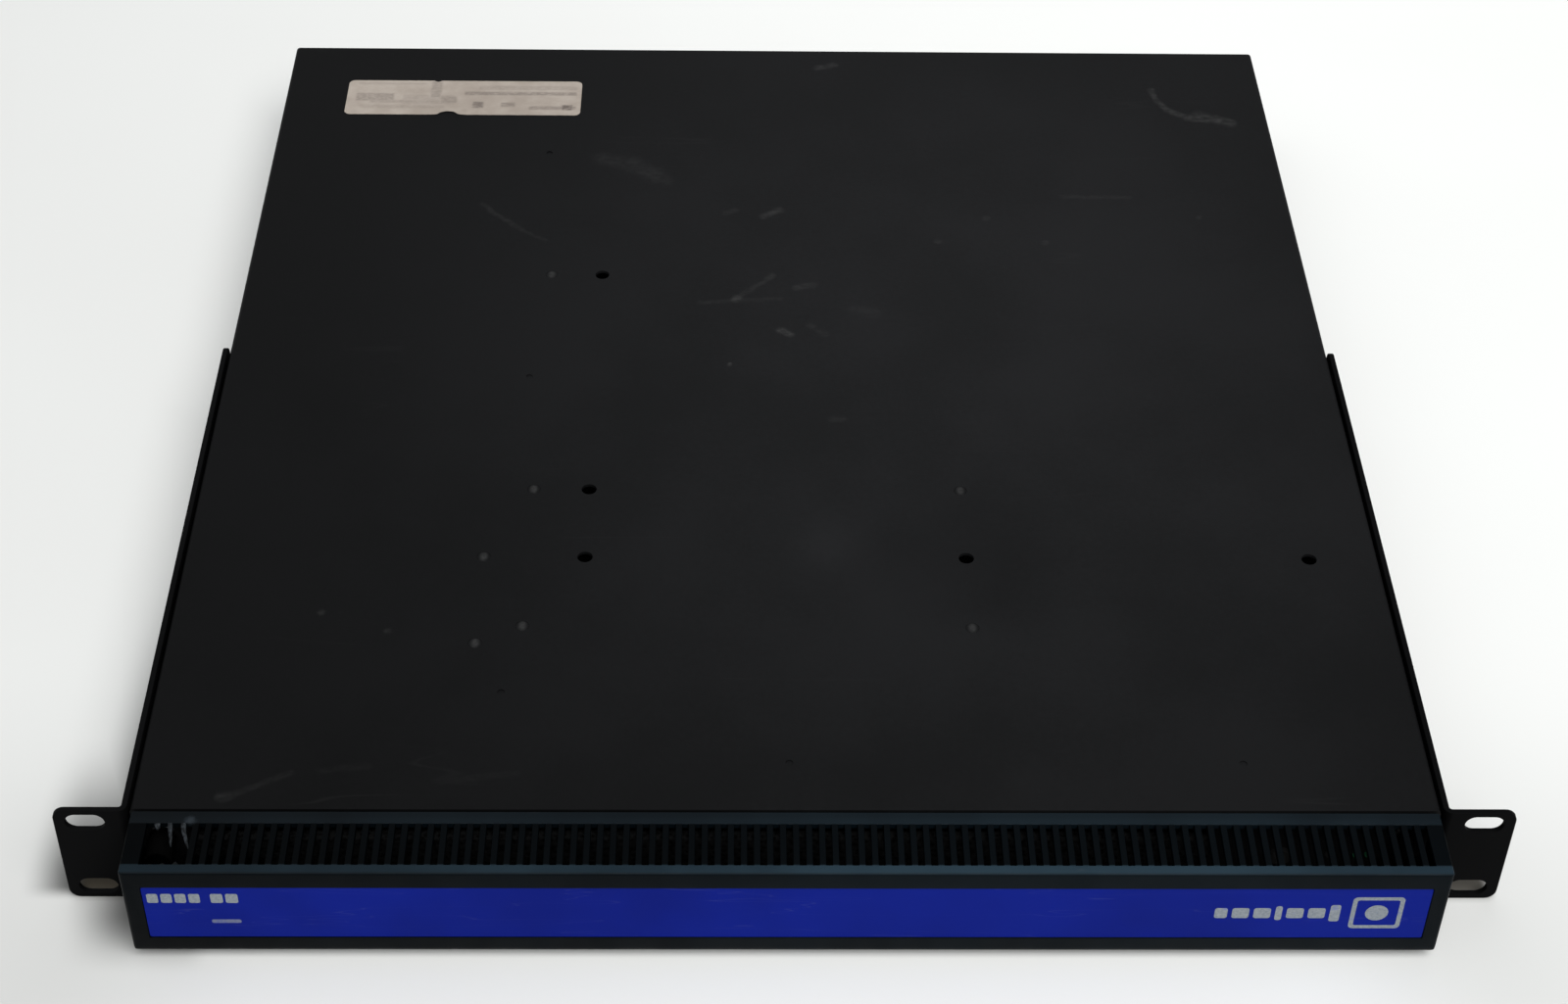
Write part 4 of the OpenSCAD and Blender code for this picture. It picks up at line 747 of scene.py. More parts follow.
def bezel_casing():
    half, top, bottom, front = BEZEL_HIGH.x, BEZEL_HIGH.z, BEZEL_LOW.z, BEZEL_LOW.y
    sill, head = PLATE_LOW.z - PLATE_GAP, PLATE_HIGH.z + PLATE_GAP
    roof, ledge = top - BEZEL_WALL, bottom + BEZEL_WALL
    inner = front + BEZEL_WALL + RECESS
    vent_end = vent_start(VENT_COUNT - 1) + VENT_PITCH - RIB
    skin = Skin()

    def outer(x, recessed):
        depth = front + RECESS if recessed else front
        outline = [(0, top), (VENT_REAR, top), (VENT_FRONT, top)]
        outline += arc((front + UPPER_ROUND, top - UPPER_ROUND), UPPER_ROUND, 90, 180, 4)
        outline += [(front, head), (depth, head), (depth, sill), (front, sill)]
        outline += arc((front + LOWER_ROUND, bottom + LOWER_ROUND), LOWER_ROUND, 180, 270, 6)
        outline += [(VENT_FRONT, bottom), (VENT_REAR, bottom), (0, bottom)]
        low = bottom + rounded_drop(x, half, END_LOW_ROUND)
        high = top - rounded_drop(x, half, END_TOP_ROUND)
        near = front + rounded_drop(x, half, END_FRONT_ROUND)
        return [(x, max(y, near), min(max(z, low), high)) for y, z in outline]

    def hollow(x):
        outline = [(0, ledge), (VENT_REAR, ledge), (VENT_FRONT, ledge), (inner, ledge),
                   (inner, roof), (VENT_FRONT, roof), (VENT_REAR, roof), (0, roof)]
        return [(x, y, z) for y, z in outline]

    def is_vent(x0, x1):
        """Whether a vent lies between two cuts."""
        i = round((x0 - VENT_X0) / VENT_PITCH)
        same = abs(x0 - vent_start(i)) < 0.01 and x1 - x0 < VENT_PITCH - RIB + 0.01
        return same and 0 <= i < VENT_COUNT

    cuts = bezel_stations()
    open_above, open_below = [], []
    for x0, x1 in zip(cuts, cuts[1:]):
        vent = is_vent(x0, x1)
        broken = vent_start(0) - 0.01 < x0 and x1 < vent_start(MISSING_RIBS) + 0.01
        in_end = x1 <= -(half - BEZEL_WALL) + 0.001 or x0 >= half - BEZEL_WALL - 0.001
        recessed = x0 > VENT_X0 - 0.01 and x1 < vent_end + 0.01
        open_above.append(vent or broken)
        open_below.append(vent)
        tails = [[hollow(x)[0], hollow(x)[-1]] if in_end else hollow(x) for x in (x0, x1)]
        rings = [outer(x, recessed) + tail for x, tail in zip((x0, x1), tails)]
        count = len(rings[0])
        last_outer = len(outer(x0, recessed)) - 1
        cut_out = {1, last_outer + 6} if vent or broken else set()
        cut_out |= {last_outer - 2, last_outer + 2} if vent else set()
        for k in range(count):
            j = (k + 1) % count
            if in_end or k not in cut_out:
                skin.face([rings[0][k], rings[0][j], rings[1][j], rings[1][k]])
    # walls of the vents, above and below
    for opened, z0, z1 in ((open_above, roof, top), (open_below, bottom, ledge)):
        for i, (x0, x1) in enumerate(zip(cuts, cuts[1:])):
            if opened[i]:
                for y in (VENT_FRONT, VENT_REAR):
                    skin.face([(x0, y, z0), (x1, y, z0), (x1, y, z1), (x0, y, z1)])
            if i and opened[i] != opened[i - 1]:
                near, far = VENT_FRONT, VENT_REAR
                skin.face([(x0, near, z0), (x0, far, z0), (x0, far, z1), (x0, near, z1)])
    for x in (VENT_X0, vent_end):
        skin.face([(x, front, head), (x, front + RECESS, head), (x, front + RECESS, sill), (x, front, sill)])
    for side in (-1, 1):
        end = side * half
        skin.face(outer(end, False) + [hollow(end)[0], hollow(end)[-1]])
        skin.face(hollow(side * (half - BEZEL_WALL)))
    # posts that carry the clips
    clip_low, clip_high = box_mm("bezel_clips")
    for x in (clip_low.x + POST_INSET, clip_high.x - POST_INSET):
        for z in (clip_low.z + POST_INSET, clip_high.z - POST_INSET):
            skin.extrude(arc((x, z), POST_R, 0, 345, 23), inner, clip_low.y)
    skin.piece("bezel_casing", "bezel", "bezel_plastic", stands_for=("bezel_shell",), bevel=0.22)


def torn_rib(skin, x, y_start, y_end, drop, lean, width):
    """A broken rib: rooted at y_start, bent down and aside, thinning to a ragged tip."""
    steps = 9
    rings = []
    for i in range(steps + 1):
        t = i / steps
        taper = 1 - 0.75 * t ** 2.2
        half_w = width / 2 * taper
        half_h = BEZEL_WALL / 2 * (1 - 0.65 * t)
        wobble = 0.18 * noise.noise(Vector((x, t * 4, 1.3)))
        cx = x + lean * t ** 1.4 + wobble
        cy = y_start + (y_end - y_start) * t
        cz = TOP - BEZEL_WALL / 2 - drop * t ** 1.6
        rings.append([(cx + px, cy + wobble * t, cz + pz)
                      for px, pz in round_rect(0, 0, 2 * half_w, 2 * half_h, min(half_w, half_h) * 0.4, 2)])
    skin.loft(rings)


def broken_ribs():
    """What is left of the missing ribs at the bezel's left end."""
    skin = Skin()
    mids = [vent_start(i + 1) - RIB / 2 for i in range(MISSING_RIBS)]
    # length, drop, lean and width of what is left at the rear
    stumps = ((1.4, 0.3, 0.2, RIB), (6.5, 2.6, 0.9, RIB * 0.72), (8.6, 2.2, 2.6, RIB * 0.80))
    for x, (length, drop, lean, width) in zip(mids, stumps):
        torn_rib(skin, x, VENT_REAR + 0.4, VENT_REAR - length, drop, lean, width)
    for i, x in enumerate(mids):
        torn_rib(skin, x, VENT_FRONT - 0.4, VENT_FRONT + 1.0 + 0.5 * i, 0.4, 0.3 - 0.3 * i, RIB * 0.9)
    skin.piece("bezel_torn_ribs", "bezel", "bezel_plastic", LOOKS["torn_plastic"])


def torn_flap():
    """A split strip of plastic hanging just under the vents beside the break."""
    skin = Skin()
    x0, x1 = vent_start(3) + 0.6, vent_start(9) + 1.0
    steps = 24
    rings = []
    for i in range(steps + 1):
        t = i / steps
        x = x0 + (x1 - x0) * t
        ragged = 0.9 * noise.noise(Vector((x * 0.55, 3.1, 0.4)))
        rear = VENT_FRONT + 7.6 - 1.8 * t + ragged
        high = TOP - BEZEL_WALL - 0.15 - 0.5 * math.sin(math.pi * t)
        sag = 0.9 + 0.5 * noise.noise(Vector((x * 0.3, 8.0, 2.0)))
        rings.append([(x, VENT_FRONT - 0.5, high), (x, rear, high - sag),
                      (x, rear - 0.2, high - sag - 0.9), (x, VENT_FRONT - 0.5, high - 1.1)])
    skin.loft(rings)
    skin.piece("bezel_split_strip", "bezel", "bezel_plastic", bevel=0.12)


def plate_marks():
    """Plain printed shapes: a row of blocks, a ring and two short groups of blocks."""
    skin = Skin()
    low, high = box_mm("plate_print")
    y0, y1 = low.y, high.y
    emblem_x, emblem_z = high.x - 9.0, 2.4

    def block(cx, cz, width, height, radius):
        skin.extrude(round_rect(cx, cz, width, height, radius), y0, y1)

    # a square ring with a disc
    outer = round_rect(emblem_x, emblem_z, 17.0, 15.6, 1.6)
    inner = round_rect(emblem_x, emblem_z, 14.0, 12.6, 0.8)
    for ring, following in (((outer, y0), (inner, y0)), ((inner, y0), (inner, y1)),
                            ((inner, y1), (outer, y1)), ((outer, y1), (outer, y0))):
        skin.band([(x, ring[1], z) for x, z in ring[0]], [(x, following[1], z) for x, z in following[0]])
    skin.extrude(arc((emblem_x, emblem_z), 3.8, 0, 350, 35), y0, y1)
    # blocks in place of the wording
    x = high.x - 21.0
    for width, height in ((3.4, 8.2), (5.6, 5.0), (5.6, 5.0), (2.2, 7.0), (5.6, 5.0), (5.6, 5.0), (4.2, 5.0)):
        block(x - width / 2, 2.2, width, height, 0.9)
        x -= width + 1.5
    x = low.x
    for width, gap in ((3.6, 0.9), (3.6, 0.9), (3.6, 0.9), (3.6, 3.4), (4.0, 0.9), (4.0, 0.9)):
        block(x + width / 2, 9.0, width, 4.4, 0.7)
        x += width + gap
    block(x - 5.8, -2.4, 9.6, 1.7, 0.6)
    skin.piece("plate_marks", "bezel", "plate_ink", stands_for=("plate_print",))


def filter_pad():
    """The foam filter: a soft-edged pad with an uneven surface."""
    skin = Skin()
    low, high = box_mm("bezel_filter")
    counts = [round((high[i] - low[i]) / size) for i, size in enumerate((4.0, 1.25, 2.0))]
    centre, reach = (low + high) / 2, (high - low) / 2

    def soft(point):
        """Pulls the corners in and ripples the faces."""
        offset = Vector(point) - centre
        share = [offset[i] / reach[i] for i in range(3)]
        beside = [abs(share[(i + 1) % 3]) ** 8 + abs(share[(i + 2) % 3]) ** 8 for i in range(3)]
        round_off = [1 - 0.22 * beside[i] * 2.0 / max(reach[i], 2.0) for i in range(3)]
        ripple = 0.22 * noise.noise(Vector(point) * 0.35)
        return tuple(centre[i] + offset[i] * round_off[i] * (1 - abs(ripple) / reach[i]) for i in range(3))

    for axis in range(3):
        a, b = [i for i in range(3) if i != axis]
        for side in (low[axis], high[axis]):
            for i in range(counts[a]):
                for j in range(counts[b]):
                    ring = []
                    for di, dj in ((0, 0), (1, 0), (1, 1), (0, 1)):
                        point = [0.0, 0.0, 0.0]
                        point[axis] = side
                        point[a] = low[a] + (high[a] - low[a]) * (i + di) / counts[a]
                        point[b] = low[b] + (high[b] - low[b]) * (j + dj) / counts[b]
                        ring.append(soft(point))
                    skin.face(ring)
    skin.piece("filter_pad", "bezel", "filter_foam", stands_for=("bezel_filter",))


# ---------- label ----------

def worn_label():
    """A thin label with round corners, a torn nick and slightly lifted edges."""
    skin = Skin()
    low, high = box_mm("rating_label")
    centre_x, half = (low.x + high.x) / 2, (high.x - low.x) / 2
    radius, rows = 2.6, 14
    ends = [half - radius + radius * math.sin(math.radians(90 * i / 6)) for i in range(7)]
    count = 110
    middle = [(-1 + 2 * i / count) * (half - radius) for i in range(1, count)]
    stations = [-x for x in reversed(ends)] + middle + ends

    def edges(x):
        drop = rounded_drop(x, half, radius)
        near, far = low.y + drop, high.y - drop
        nick = max(0.0, 1 - ((x + 6.2) / 4.6) ** 2) ** 0.7
        near += 2.3 * nick * (1 + 0.25 * noise.noise(Vector((x * 0.9, 0, 0))))
        far -= 0.9 * max(0.0, 1 - ((x + 12.4) / 1.3) ** 2)
        near += 0.10 * noise.noise(Vector((x * 1.4, 5, 0)))
        far -= 0.10 * noise.noise(Vector((x * 1.1, 9, 0)))
        return near, far

    def lift(x, t):
        """Height of the underside above the pan."""
        edge = max(0.0, abs(2 * t - 1) - 0.72) / 0.28
        near_nick = max(0.0, 1 - abs(x + 6.2) / 9) * max(0.0, 1 - t / 0.35)
        ripple = 0.5 + 0.5 * noise.noise(Vector((x * 0.22, t * 3, 4)))
        return 0.07 * edge * ripple + 0.30 * near_nick + 0.015 * ripple

    thick = high.z - low.z
    for x0, x1 in zip(stations, stations[1:]):
        for j in range(rows):
            quad, under = [], []
            for x, row in ((x0, j), (x1, j), (x1, j + 1), (x0, j + 1)):
                near, far = edges(x)
                t = row / rows
                y = near + (far - near) * t
                base = TOP + lift(x, t)
                quad.append((centre_x + x, y, base + thick))
                under.append((centre_x + x, y, base))
            skin.face(quad)
            skin.face(under[::-1])
            at_edge = (j == 0, x1 == stations[-1], j == rows - 1, x0 == stations[0])
            for a in range(4):
                if at_edge[a]:
                    b = (a + 1) % 4
                    skin.face([quad[a], under[a], under[b], quad[b]])
    skin.piece("worn_label", "chassis", "label_film", stands_for=("rating_label",))


# ---------- details of the rear ports ----------

def box_faces(skin, low, high, slant=(0.0, 0.0, 0.0)):
    """A box between two corners; slant moves its far Y end."""
    square = [(low[0], low[2]), (high[0], low[2]), (high[0], high[2]), (low[0], high[2])]
    ends = ((low[1], (0, 0, 0)), (high[1], slant))
    skin.loft([[(x + shift[0], y + shift[1], z + shift[2]) for x, z in square] for y, shift in ends])


JACK_W, JACK_H = 16.0, 13.4
BOARD_JACK_PITCH, CARD_JACK_PITCH, CONTACT_PITCH = 17.5, 20.0, 1.02
PORT_FACE = PAN_HIGH.y + 0.4


def jack_places():
    """The lower left corner of each network jack's face."""
    low, high = box_mm("network_jacks")
    board_row = [high.x - JACK_W - i * BOARD_JACK_PITCH for i in range(4)]
    card_row = [low.x + i * CARD_JACK_PITCH for i in range(2)]
    return [(x, high.z - JACK_H) for x in board_row] + [(x, low.z) for x in card_row]


def jack_details():
    contacts, green, amber = Skin(), Skin(), Skin()
    for x, z in jack_places():
        for i in range(8):
            cx = x + JACK_W / 2 + (i - 3.5) * CONTACT_PITCH
            deep, near = PORT_FACE - 10.5, PORT_FACE - 2.4
            box_faces(contacts, (cx - 0.18, deep, z + 6.0), (cx + 0.18, near, z + 6.35), (0, 0, -3.4))
        for skin, left in ((green, x + 1.1), (amber, x + JACK_W - 3.9)):
            outline = round_rect(left + 1.4, z + JACK_H - 1.75, 2.8, 1.9, 0.35, 3)
            skin.extrude(outline, PORT_FACE - 0.5, PORT_FACE + 0.15)
    contacts.piece("jack_contacts", "chassis", "port_nickel", LOOKS["contact_gold"], bevel=0.05)
    for colour, skin, tint in (("green", green, (0.10, 0.42, 0.12)), ("amber", amber, (0.62, 0.36, 0.06))):
        window = lamp_window("lamp_" + colour, tint)
        skin.piece("jack_lamps_" + colour, "chassis", "latch_ivory", window, bevel=0.06)


def usb_tongues():
    skin, pins = Skin(), Skin()
    low, high = box_mm("usb_ports")
    for z in (low.z + 3.6, low.z + 11.0):
        box_faces(skin, (low.x + 1.5, PORT_FACE - 12.6, z - 0.1), (high.x - 1.5, PORT_FACE - 1.3, z + 1.9))
        for i in range(4):
            x = (low.x + high.x) / 2 + (i - 1.5) * 2.4
            box_faces(pins, (x - 0.5, PORT_FACE - 9.5, z - 0.24), (x + 0.5, PORT_FACE - 2.2, z))
    skin.piece("usb_tongues", "chassis", "dark_plastic", bevel=0.15)
    pins.piece("usb_pins", "chassis", "port_nickel", LOOKS["contact_gold"], bevel=0.04)


SOCKET_PITCH, SOCKET_ROWS = 2.29, 1.98


def video_insert():
    """The moulding inside the video connector, with its 15 sockets."""
    skin, holes = Skin(), Skin()
    low, high = box_mm("video_port")
    cx, cz, face = (low.x + high.x) / 2, low.z + 6.2, high.y
    skin.extrude(round_rect(cx, cz, 15.6, 7.0, 1.6, 4, lean=1.0), face - 0.3, face + 0.35)
    for row in range(3):
        for i in range(5):
            x = cx + (i - 2) * SOCKET_PITCH + (0.57 if row == 1 else -0.3)
            spot = arc((x, cz + (row - 1) * SOCKET_ROWS), 0.48, 0, 330, 11)
            holes.extrude(spot, face, face + 0.38)
    skin.piece("video_insert", "chassis", "dark_plastic", LOOKS["port_blue"], bevel=0.12)
    holes.piece("video_sockets", "chassis", "chip_black")


# ---------- fans ----------

BLADES, HUB_SHARE, HUB_WALL, SHAFT_R = 7, 0.63, 1.3, 1.5


def lathe(skin, centre, profile, steps):
    """Turns a profile of (radius, y) about a Y axis; the profile is closed."""
    turns = [2 * math.pi * i / steps for i in range(steps)]
    rings = [[(centre.x + r * math.cos(a), y, centre.z + r * math.sin(a)) for r, y in profile] for a in turns]
    for ring, following in zip(rings, rings[1:] + rings[:1]):
        skin.band(ring, following)


def blade_section():
    """A thin aerofoil outline; u runs along the chord from -1 to 1 and v is the half thickness."""
    stations = [-1.0, -0.9, -0.6, -0.2, 0.2, 0.6, 0.9, 1.0]
    upper = [(u, math.sqrt(max(0.0, 1 - u * u)) ** 0.6) for u in stations]
    lower = [(u, -v) for u, v in reversed(upper[1:-1])]
    return upper + lower


def fan_wheel(node, faces_rear=False):
    """A rotor with a dished hub and curved, twisted blades."""
    low, high = box_mm(node)
    centre = (low + high) / 2
    reach = (high.x - low.x) / 2
    hub = reach * HUB_SHARE
    near, far = (high.y, low.y) if faces_rear else (low.y, high.y)
    depth = abs(far - near)
    way = -1 if faces_rear else 1

    def at(share):
        return near + way * depth * share

    skin = Skin()
    cap = [(0.0, at(0.01)), (hub - 2.2, at(0.01)), (hub - 1.6, at(0.0)), (hub - 0.5, at(0.02)),
           (hub, at(0.07))]
    cup = [(hub, at(0.90)), (hub - HUB_WALL, at(0.90)), (hub - HUB_WALL, at(0.12))]
    shaft = [(SHAFT_R, at(0.12)), (SHAFT_R, at(1.0)), (0.0, at(1.0))]
    lathe(skin, centre, cap + cup + shaft, 48)
    for b in range(BLADES):
        rings = []
        for i in range(7):
            t = i / 6
            r = hub - 0.6 + (reach - hub + 0.6) * t
            pitch = math.radians(48 - 16 * t)
            chord = depth * (0.66 + 0.06 * t)
            turn = 2 * math.pi * b / BLADES + 0.16 * t * t
            ring = []
            for u, v in blade_section():
                along, camber = u * chord / 2, v * 0.55 + 0.9 * (1 - u * u)
                axial = along * math.sin(pitch) + camber * math.cos(pitch) - 0.5
                side = along * math.cos(pitch) - camber * math.sin(pitch)
                a = turn + side / r
                y = (near + far) / 2 - way * depth * 0.04 + way * axial
                ring.append((centre.x + r * math.cos(a), y, centre.z + r * math.sin(a)))
            rings.append(ring)
        skin.loft(rings)
    skin.piece(node + "_wheel", node, "dark_plastic", stands_for=(node,))


# ---------- cables ----------

def curve(points, steps=7):
    """A smooth line through the points."""
    points = [Vector(p) for p in points]
    points = [2 * points[0] - points[1]] + points + [2 * points[-1] - points[-2]]
    line = []
    for a, b, c, d in zip(points, points[1:], points[2:], points[3:]):
        for i in range(steps):
            t = i / steps
            line.append(0.5 * (2 * b + (c - a) * t + (2 * a - 5 * b + 4 * c - d) * t * t
                               + (3 * b - a - 3 * c + d) * t ** 3))
    return line + [points[-2]]


def sweep(skin, line, outline):
    """Carries an outline of (across, above) along a line without twisting it."""
    above = Vector((0.0, 0.0, 1.0))
    rings = []
    for i, point in enumerate(line):
        ahead = (line[min(i + 1, len(line) - 1)] - line[max(i - 1, 0)]).normalized()
        side = ahead.cross(above).normalized()
        above = side.cross(ahead)
        rings.append([tuple(point + side * u + above * v) for u, v in outline])
    skin.loft(rings)


def wire(skin, points, radius, steps=7):
    sweep(skin, curve(points, steps), arc((0.0, 0.0), radius, 0, 324, 9))


CABLES_LOW, CABLES_HIGH = box_mm("cable_set")
SUPPLY_FACE = CABLES_HIGH.y - 0.2
DRIVE_FACE = box_mm("hard_drive")[1].y + 0.1
# the supply's bundle, and the board plug that it ends in
BUNDLE_X, BUNDLE_Z = -125, -15
PLUG_X, PLUG_Y, CELL = -96, 206, 5.0
PLUG_CELLS = 10
BUNDLE_COLOURS = ("orange", "orange", "black", "red", "black", "red", "black", "blue", "blue", "yellow",
                  "orange", "blue", "black", "black", "black", "black", "black", "red", "red", "yellow")
# the drive's power lead and plug
DRIVE_LEAD_X, DRIVE_PLUG_L = -190, 7.5
# the flat cable: its plane along the drive and along the board, and the radius of its bend
RIBBON_X, RIBBON_Y, RIBBON_Z, RIBBON_BEND = -159.5, 190, 1.0, 4
# the control lead
CONTROL_X, CONTROL_Z = 202, 8.3
FAN_LEAD_Z = 9.3
JACKETS = {
    "black": (grey(0.012), grey(0.020)), "red": ((0.36, 0.02, 0.015, 1), (0.46, 0.03, 0.02, 1)),
    "orange": ((0.62, 0.17, 0.02, 1), (0.72, 0.22, 0.03, 1)),
    "yellow": ((0.70, 0.50, 0.04, 1), (0.80, 0.60, 0.06, 1)),
    "blue": ((0.03, 0.06, 0.30, 1), (0.04, 0.09, 0.38, 1)),
}


def supply_wires(skins):
    """Twenty leads from the supply that fan out into two rows of the board plug."""
    inner = arc((0, 0), 1.55, 0, 300, 5)
    outer = arc((0, 0), 3.1, 10, 10 + 360 * 12 / 13, 12)
    for i, ((u, v), colour) in enumerate(zip([(0, 0)] + inner + outer, BUNDLE_COLOURS)):
        row_y = PLUG_Y + 2.6 + 4.95 * (i % PLUG_CELLS)
        row_z = CABLES_LOW.z + (2.1 if i < PLUG_CELLS else 5.6)
        wander = 0.5 * noise.noise(Vector((i * 1.7, 0.3, 2.2)))
        x, z = BUNDLE_X + u, BUNDLE_Z + v
        wire(skins[colour], [(x, SUPPLY_FACE, z), (x, 257.5, z), (-123.2 + u * 0.9, 250.5, z + wander),
                             (-116, 0.45 * (245 + u) + 0.55 * row_y, BUNDLE_Z + v * 0.9 - wander),
                             (-104, row_y + wander, row_z + v * 0.15), (PLUG_X - 0.1, row_y, row_z)], 0.72)


def drive_wires(skins):
    """Four leads twisted together that spread out at the drive's plug."""
    start = DRIVE_FACE + DRIVE_PLUG_L
    for i, colour in enumerate(("yellow", "black", "black", "red")):
        line = []
        for k in range(9):
            t = k / 8
            a = math.radians(90 * i + 45) + 2.4 * math.pi * t
            gather = 1.35 + 1.4 * max(0.0, 1 - t * 5)
            spread = max(0.0, 1 - t * 4)
            x = (1 - spread) * gather * math.cos(a) + spread * (i - 1.5) * 3.4
            z = (1 - spread) * gather * math.sin(a)
            line.append((DRIVE_LEAD_X + x, start + (SUPPLY_FACE - start) * t, z))
        wire(skins[colour], line, 0.95)


def fan_wires(skins):
    """Three leads from each fan to its plug on the board."""
    start, end = box_mm("fan_housings")[1].y + 0.1, box_mm("motherboard")[0].y + 1.9
    plugs = Skin()
    z = FAN_LEAD_Z
    for i in range(1, 5):
        low, high = box_mm(f"fan_rotor_{i}")
        x = (low.x + high.x) / 2
        for k, colour in enumerate(("black", "red", "yellow")):
            off = (k - 1) * 1.15
            dip = 0.5 * noise.noise(Vector((i * 3.1, k * 0.4, 1.0)))
            wire(skins[colour], [(x + off, start, z), (x + off * 1.1, start + 5, z - 0.4 + dip),
                                 (x + off, end - 4, z - dip), (x + off, end, z)], 0.5, 5)
        box_faces(plugs, (x - 2.6, end, z - 1.4), (x + 2.6, end + 3.0, z + 1.4))
    plugs.piece("fan_plugs", "chassis", "dark_plastic", LOOKS["latch_ivory"], bevel=0.25)


def power_plugs():
    """The board plug, two rows of cells under a latch, and the drive's plug with its chamfered corners."""
    board = Skin()
    low = CABLES_LOW.z
    for i in range(PLUG_CELLS):
        for z in (low, low + 3.9):
            y = PLUG_Y + CELL * i
            box_faces(board, (PLUG_X, y + 0.05, z), (PLUG_X + 9.8, y + CELL - 0.05, z + 3.8))
    latch_end = PLUG_Y + CELL * PLUG_CELLS - 0.1
    box_faces(board, (PLUG_X, PLUG_Y + 0.1, low + 7.8), (PLUG_X + 10, latch_end, 1.2))
    board.piece("board_power_plug", "chassis", "latch_ivory", bevel=0.25)
    drive = Skin()
    outline = [(-8, -3), (8, -3), (8, 1.2), (6.6, 3), (-6.6, 3), (-8, 1.2)]
    outline = [(DRIVE_LEAD_X + x, z) for x, z in outline]
    drive.extrude(outline, DRIVE_FACE, DRIVE_FACE + DRIVE_PLUG_L)
    drive.piece("drive_power_plug", "chassis", "latch_ivory", bevel=0.3)


def ribbon(name, line, half, pitch, look):
    """A flat cable of round cores side by side."""
    skin = Skin()
    fat, thin = 0.46, 0.24
    top = []
    for i in range(round(2 * half / pitch)):
        low = -half + i * pitch
        top += [(thin, low), (fat, low + pitch * 0.28), (fat, low + pitch * 0.72)]
    top.append((thin, half))
    sweep(skin, line, top + [(-u, v) for u, v in reversed(top)])
    skin.piece(name, "chassis", "cable_jacket", look)


def flat_cables():
    """The drive's flat cable with its two plugs, and the control lead with its own."""
    x, y, z, bend = RIBBON_X, RIBBON_Y, RIBBON_Z, RIBBON_BEND
    turns = [math.radians(15 * i) for i in range(7)]
    corner = [(x + bend * (1 - math.cos(a)), y - bend + bend * math.sin(a), z) for a in turns]
    line = [(x, DRIVE_FACE + 2, z), (x, 180, z)] + corner + [(-100, y, z)]
    red = plastic_look("ribbon_red", (0.24, 0.028, 0.026, 1), (0.32, 0.04, 0.035, 1), 0.4, 2.0)
    ribbon("drive_ribbon", [Vector(point) for point in line], 6.985, 1.27, red)
    plugs = Skin()
    box_faces(plugs, (x - 2.9, DRIVE_FACE, z - 8.2), (x + 2.9, DRIVE_FACE + 4.5, z + 8.2))
    box_faces(plugs, (-101.5, y - 2.9, z - 8.2), (-96.2, y + 2.9, z + 8.2))
    plugs.piece("ribbon_plugs", "chassis", "dark_plastic", LOOKS["chip_black"], bevel=0.4)
    x, z = CONTROL_X, CONTROL_Z
    lead = curve([(x, 43.8, z), (x, 60, z), (x - 0.4, 85, z - 0.4), (x + 0.2, 110, z - 0.2), (x, 131.8, z)])
    grey_jacket = plastic_look("ribbon_grey", grey(0.16), grey(0.22), 0.45, 2.0)
    ribbon("control_ribbon", lead, 1.905, 0.635, grey_jacket)
    control = Skin()
    box_faces(control, (x - 6, CABLES_LOW.y + 0.1, z - 2), (x + 2, 44.0, z + 2))
    control.piece("control_plug", "chassis", "dark_plastic", LOOKS["chip_black"], bevel=0.4)


def cable_pieces():
    skins = {colour: Skin() for colour in JACKETS}
    supply_wires(skins)
    drive_wires(skins)
    fan_wires(skins)
    for colour, (dark, light) in JACKETS.items():
        look = plastic_look("jacket_" + colour, dark, light, 0.42, 1.5)
        stands_for = ("cable_set",) if colour == "black" else ()
        skins[colour].piece("wires_" + colour, "chassis", "cable_jacket", look, stands_for)
    power_plugs()
    flat_cables()


# ---------- build ----------

# How wide the edges of the CAD nodes are rounded, in millimetres
USUAL_EDGE = 0.12
EDGE_WIDTHS = {
    "base_pan": 0.0, "panel_rivets": 0.35,
    "rack_bracket_left": 0.28, "rack_bracket_right": 0.28, "bracket_screws": 0.10, "front_plate": 0.10,
    "lid": 0.15, "thumbscrew_left": 0.15, "thumbscrew_right": 0.15, "board_standoffs": 0.10,
    "motherboard": 0.15, "power_supply_case": 0.20, "hard_drive": 0.40, "mains_inlet": 0.25,
    "switch_rocker": 0.40, "power_button": 0.30, "reset_button": 0.15, "fan_housings": 0.30,
    "psu_fan_housing": 0.30, "serial_port": 0.10,
    "video_port": 0.10, "io_shield": 0.06, "card_bracket": 0.08, "psu_fan_guard": 0.0,
}
# Nodes whose look differs from the one of their slot
OWN_LOOKS = {"base_pan": "pan_coat", "board_standoffs": "stud_steel", "tray_studs": "stud_steel",
             "rack_bracket_left": "bracket_coat", "rack_bracket_right": "bracket_coat",
             # the clips take the darker copy of the dark plastic as painted shade
             "bezel_clips": "clip_painted_shade"}


def dress_frame():
    """Gives every CAD node its finish and its rounded edges."""
    slots = {part["node"]: part["material_slot"] for part in frame["record"]["subparts"]}
    for name, item in frame["nodes"].items():
        item.data.materials.clear()
        item.data.materials.append(LOOKS[OWN_LOOKS.get(name, slots[name])])
        round_edges(item, EDGE_WIDTHS.get(name, USUAL_EDGE))


def build_pieces():
    bezel_casing()
    broken_ribs()
    torn_flap()
    plate_marks()
    filter_pad()
    worn_label()
    jack_details()
    usb_tongues()
    video_insert()
    for i in range(1, 5):
        fan_wheel(f"fan_rotor_{i}")
    fan_wheel("psu_fan_rotor", faces_rear=True)
    cable_pieces()


# ---------- stage ----------

BACKDROP = (0.94, 0.94, 0.93, 1)


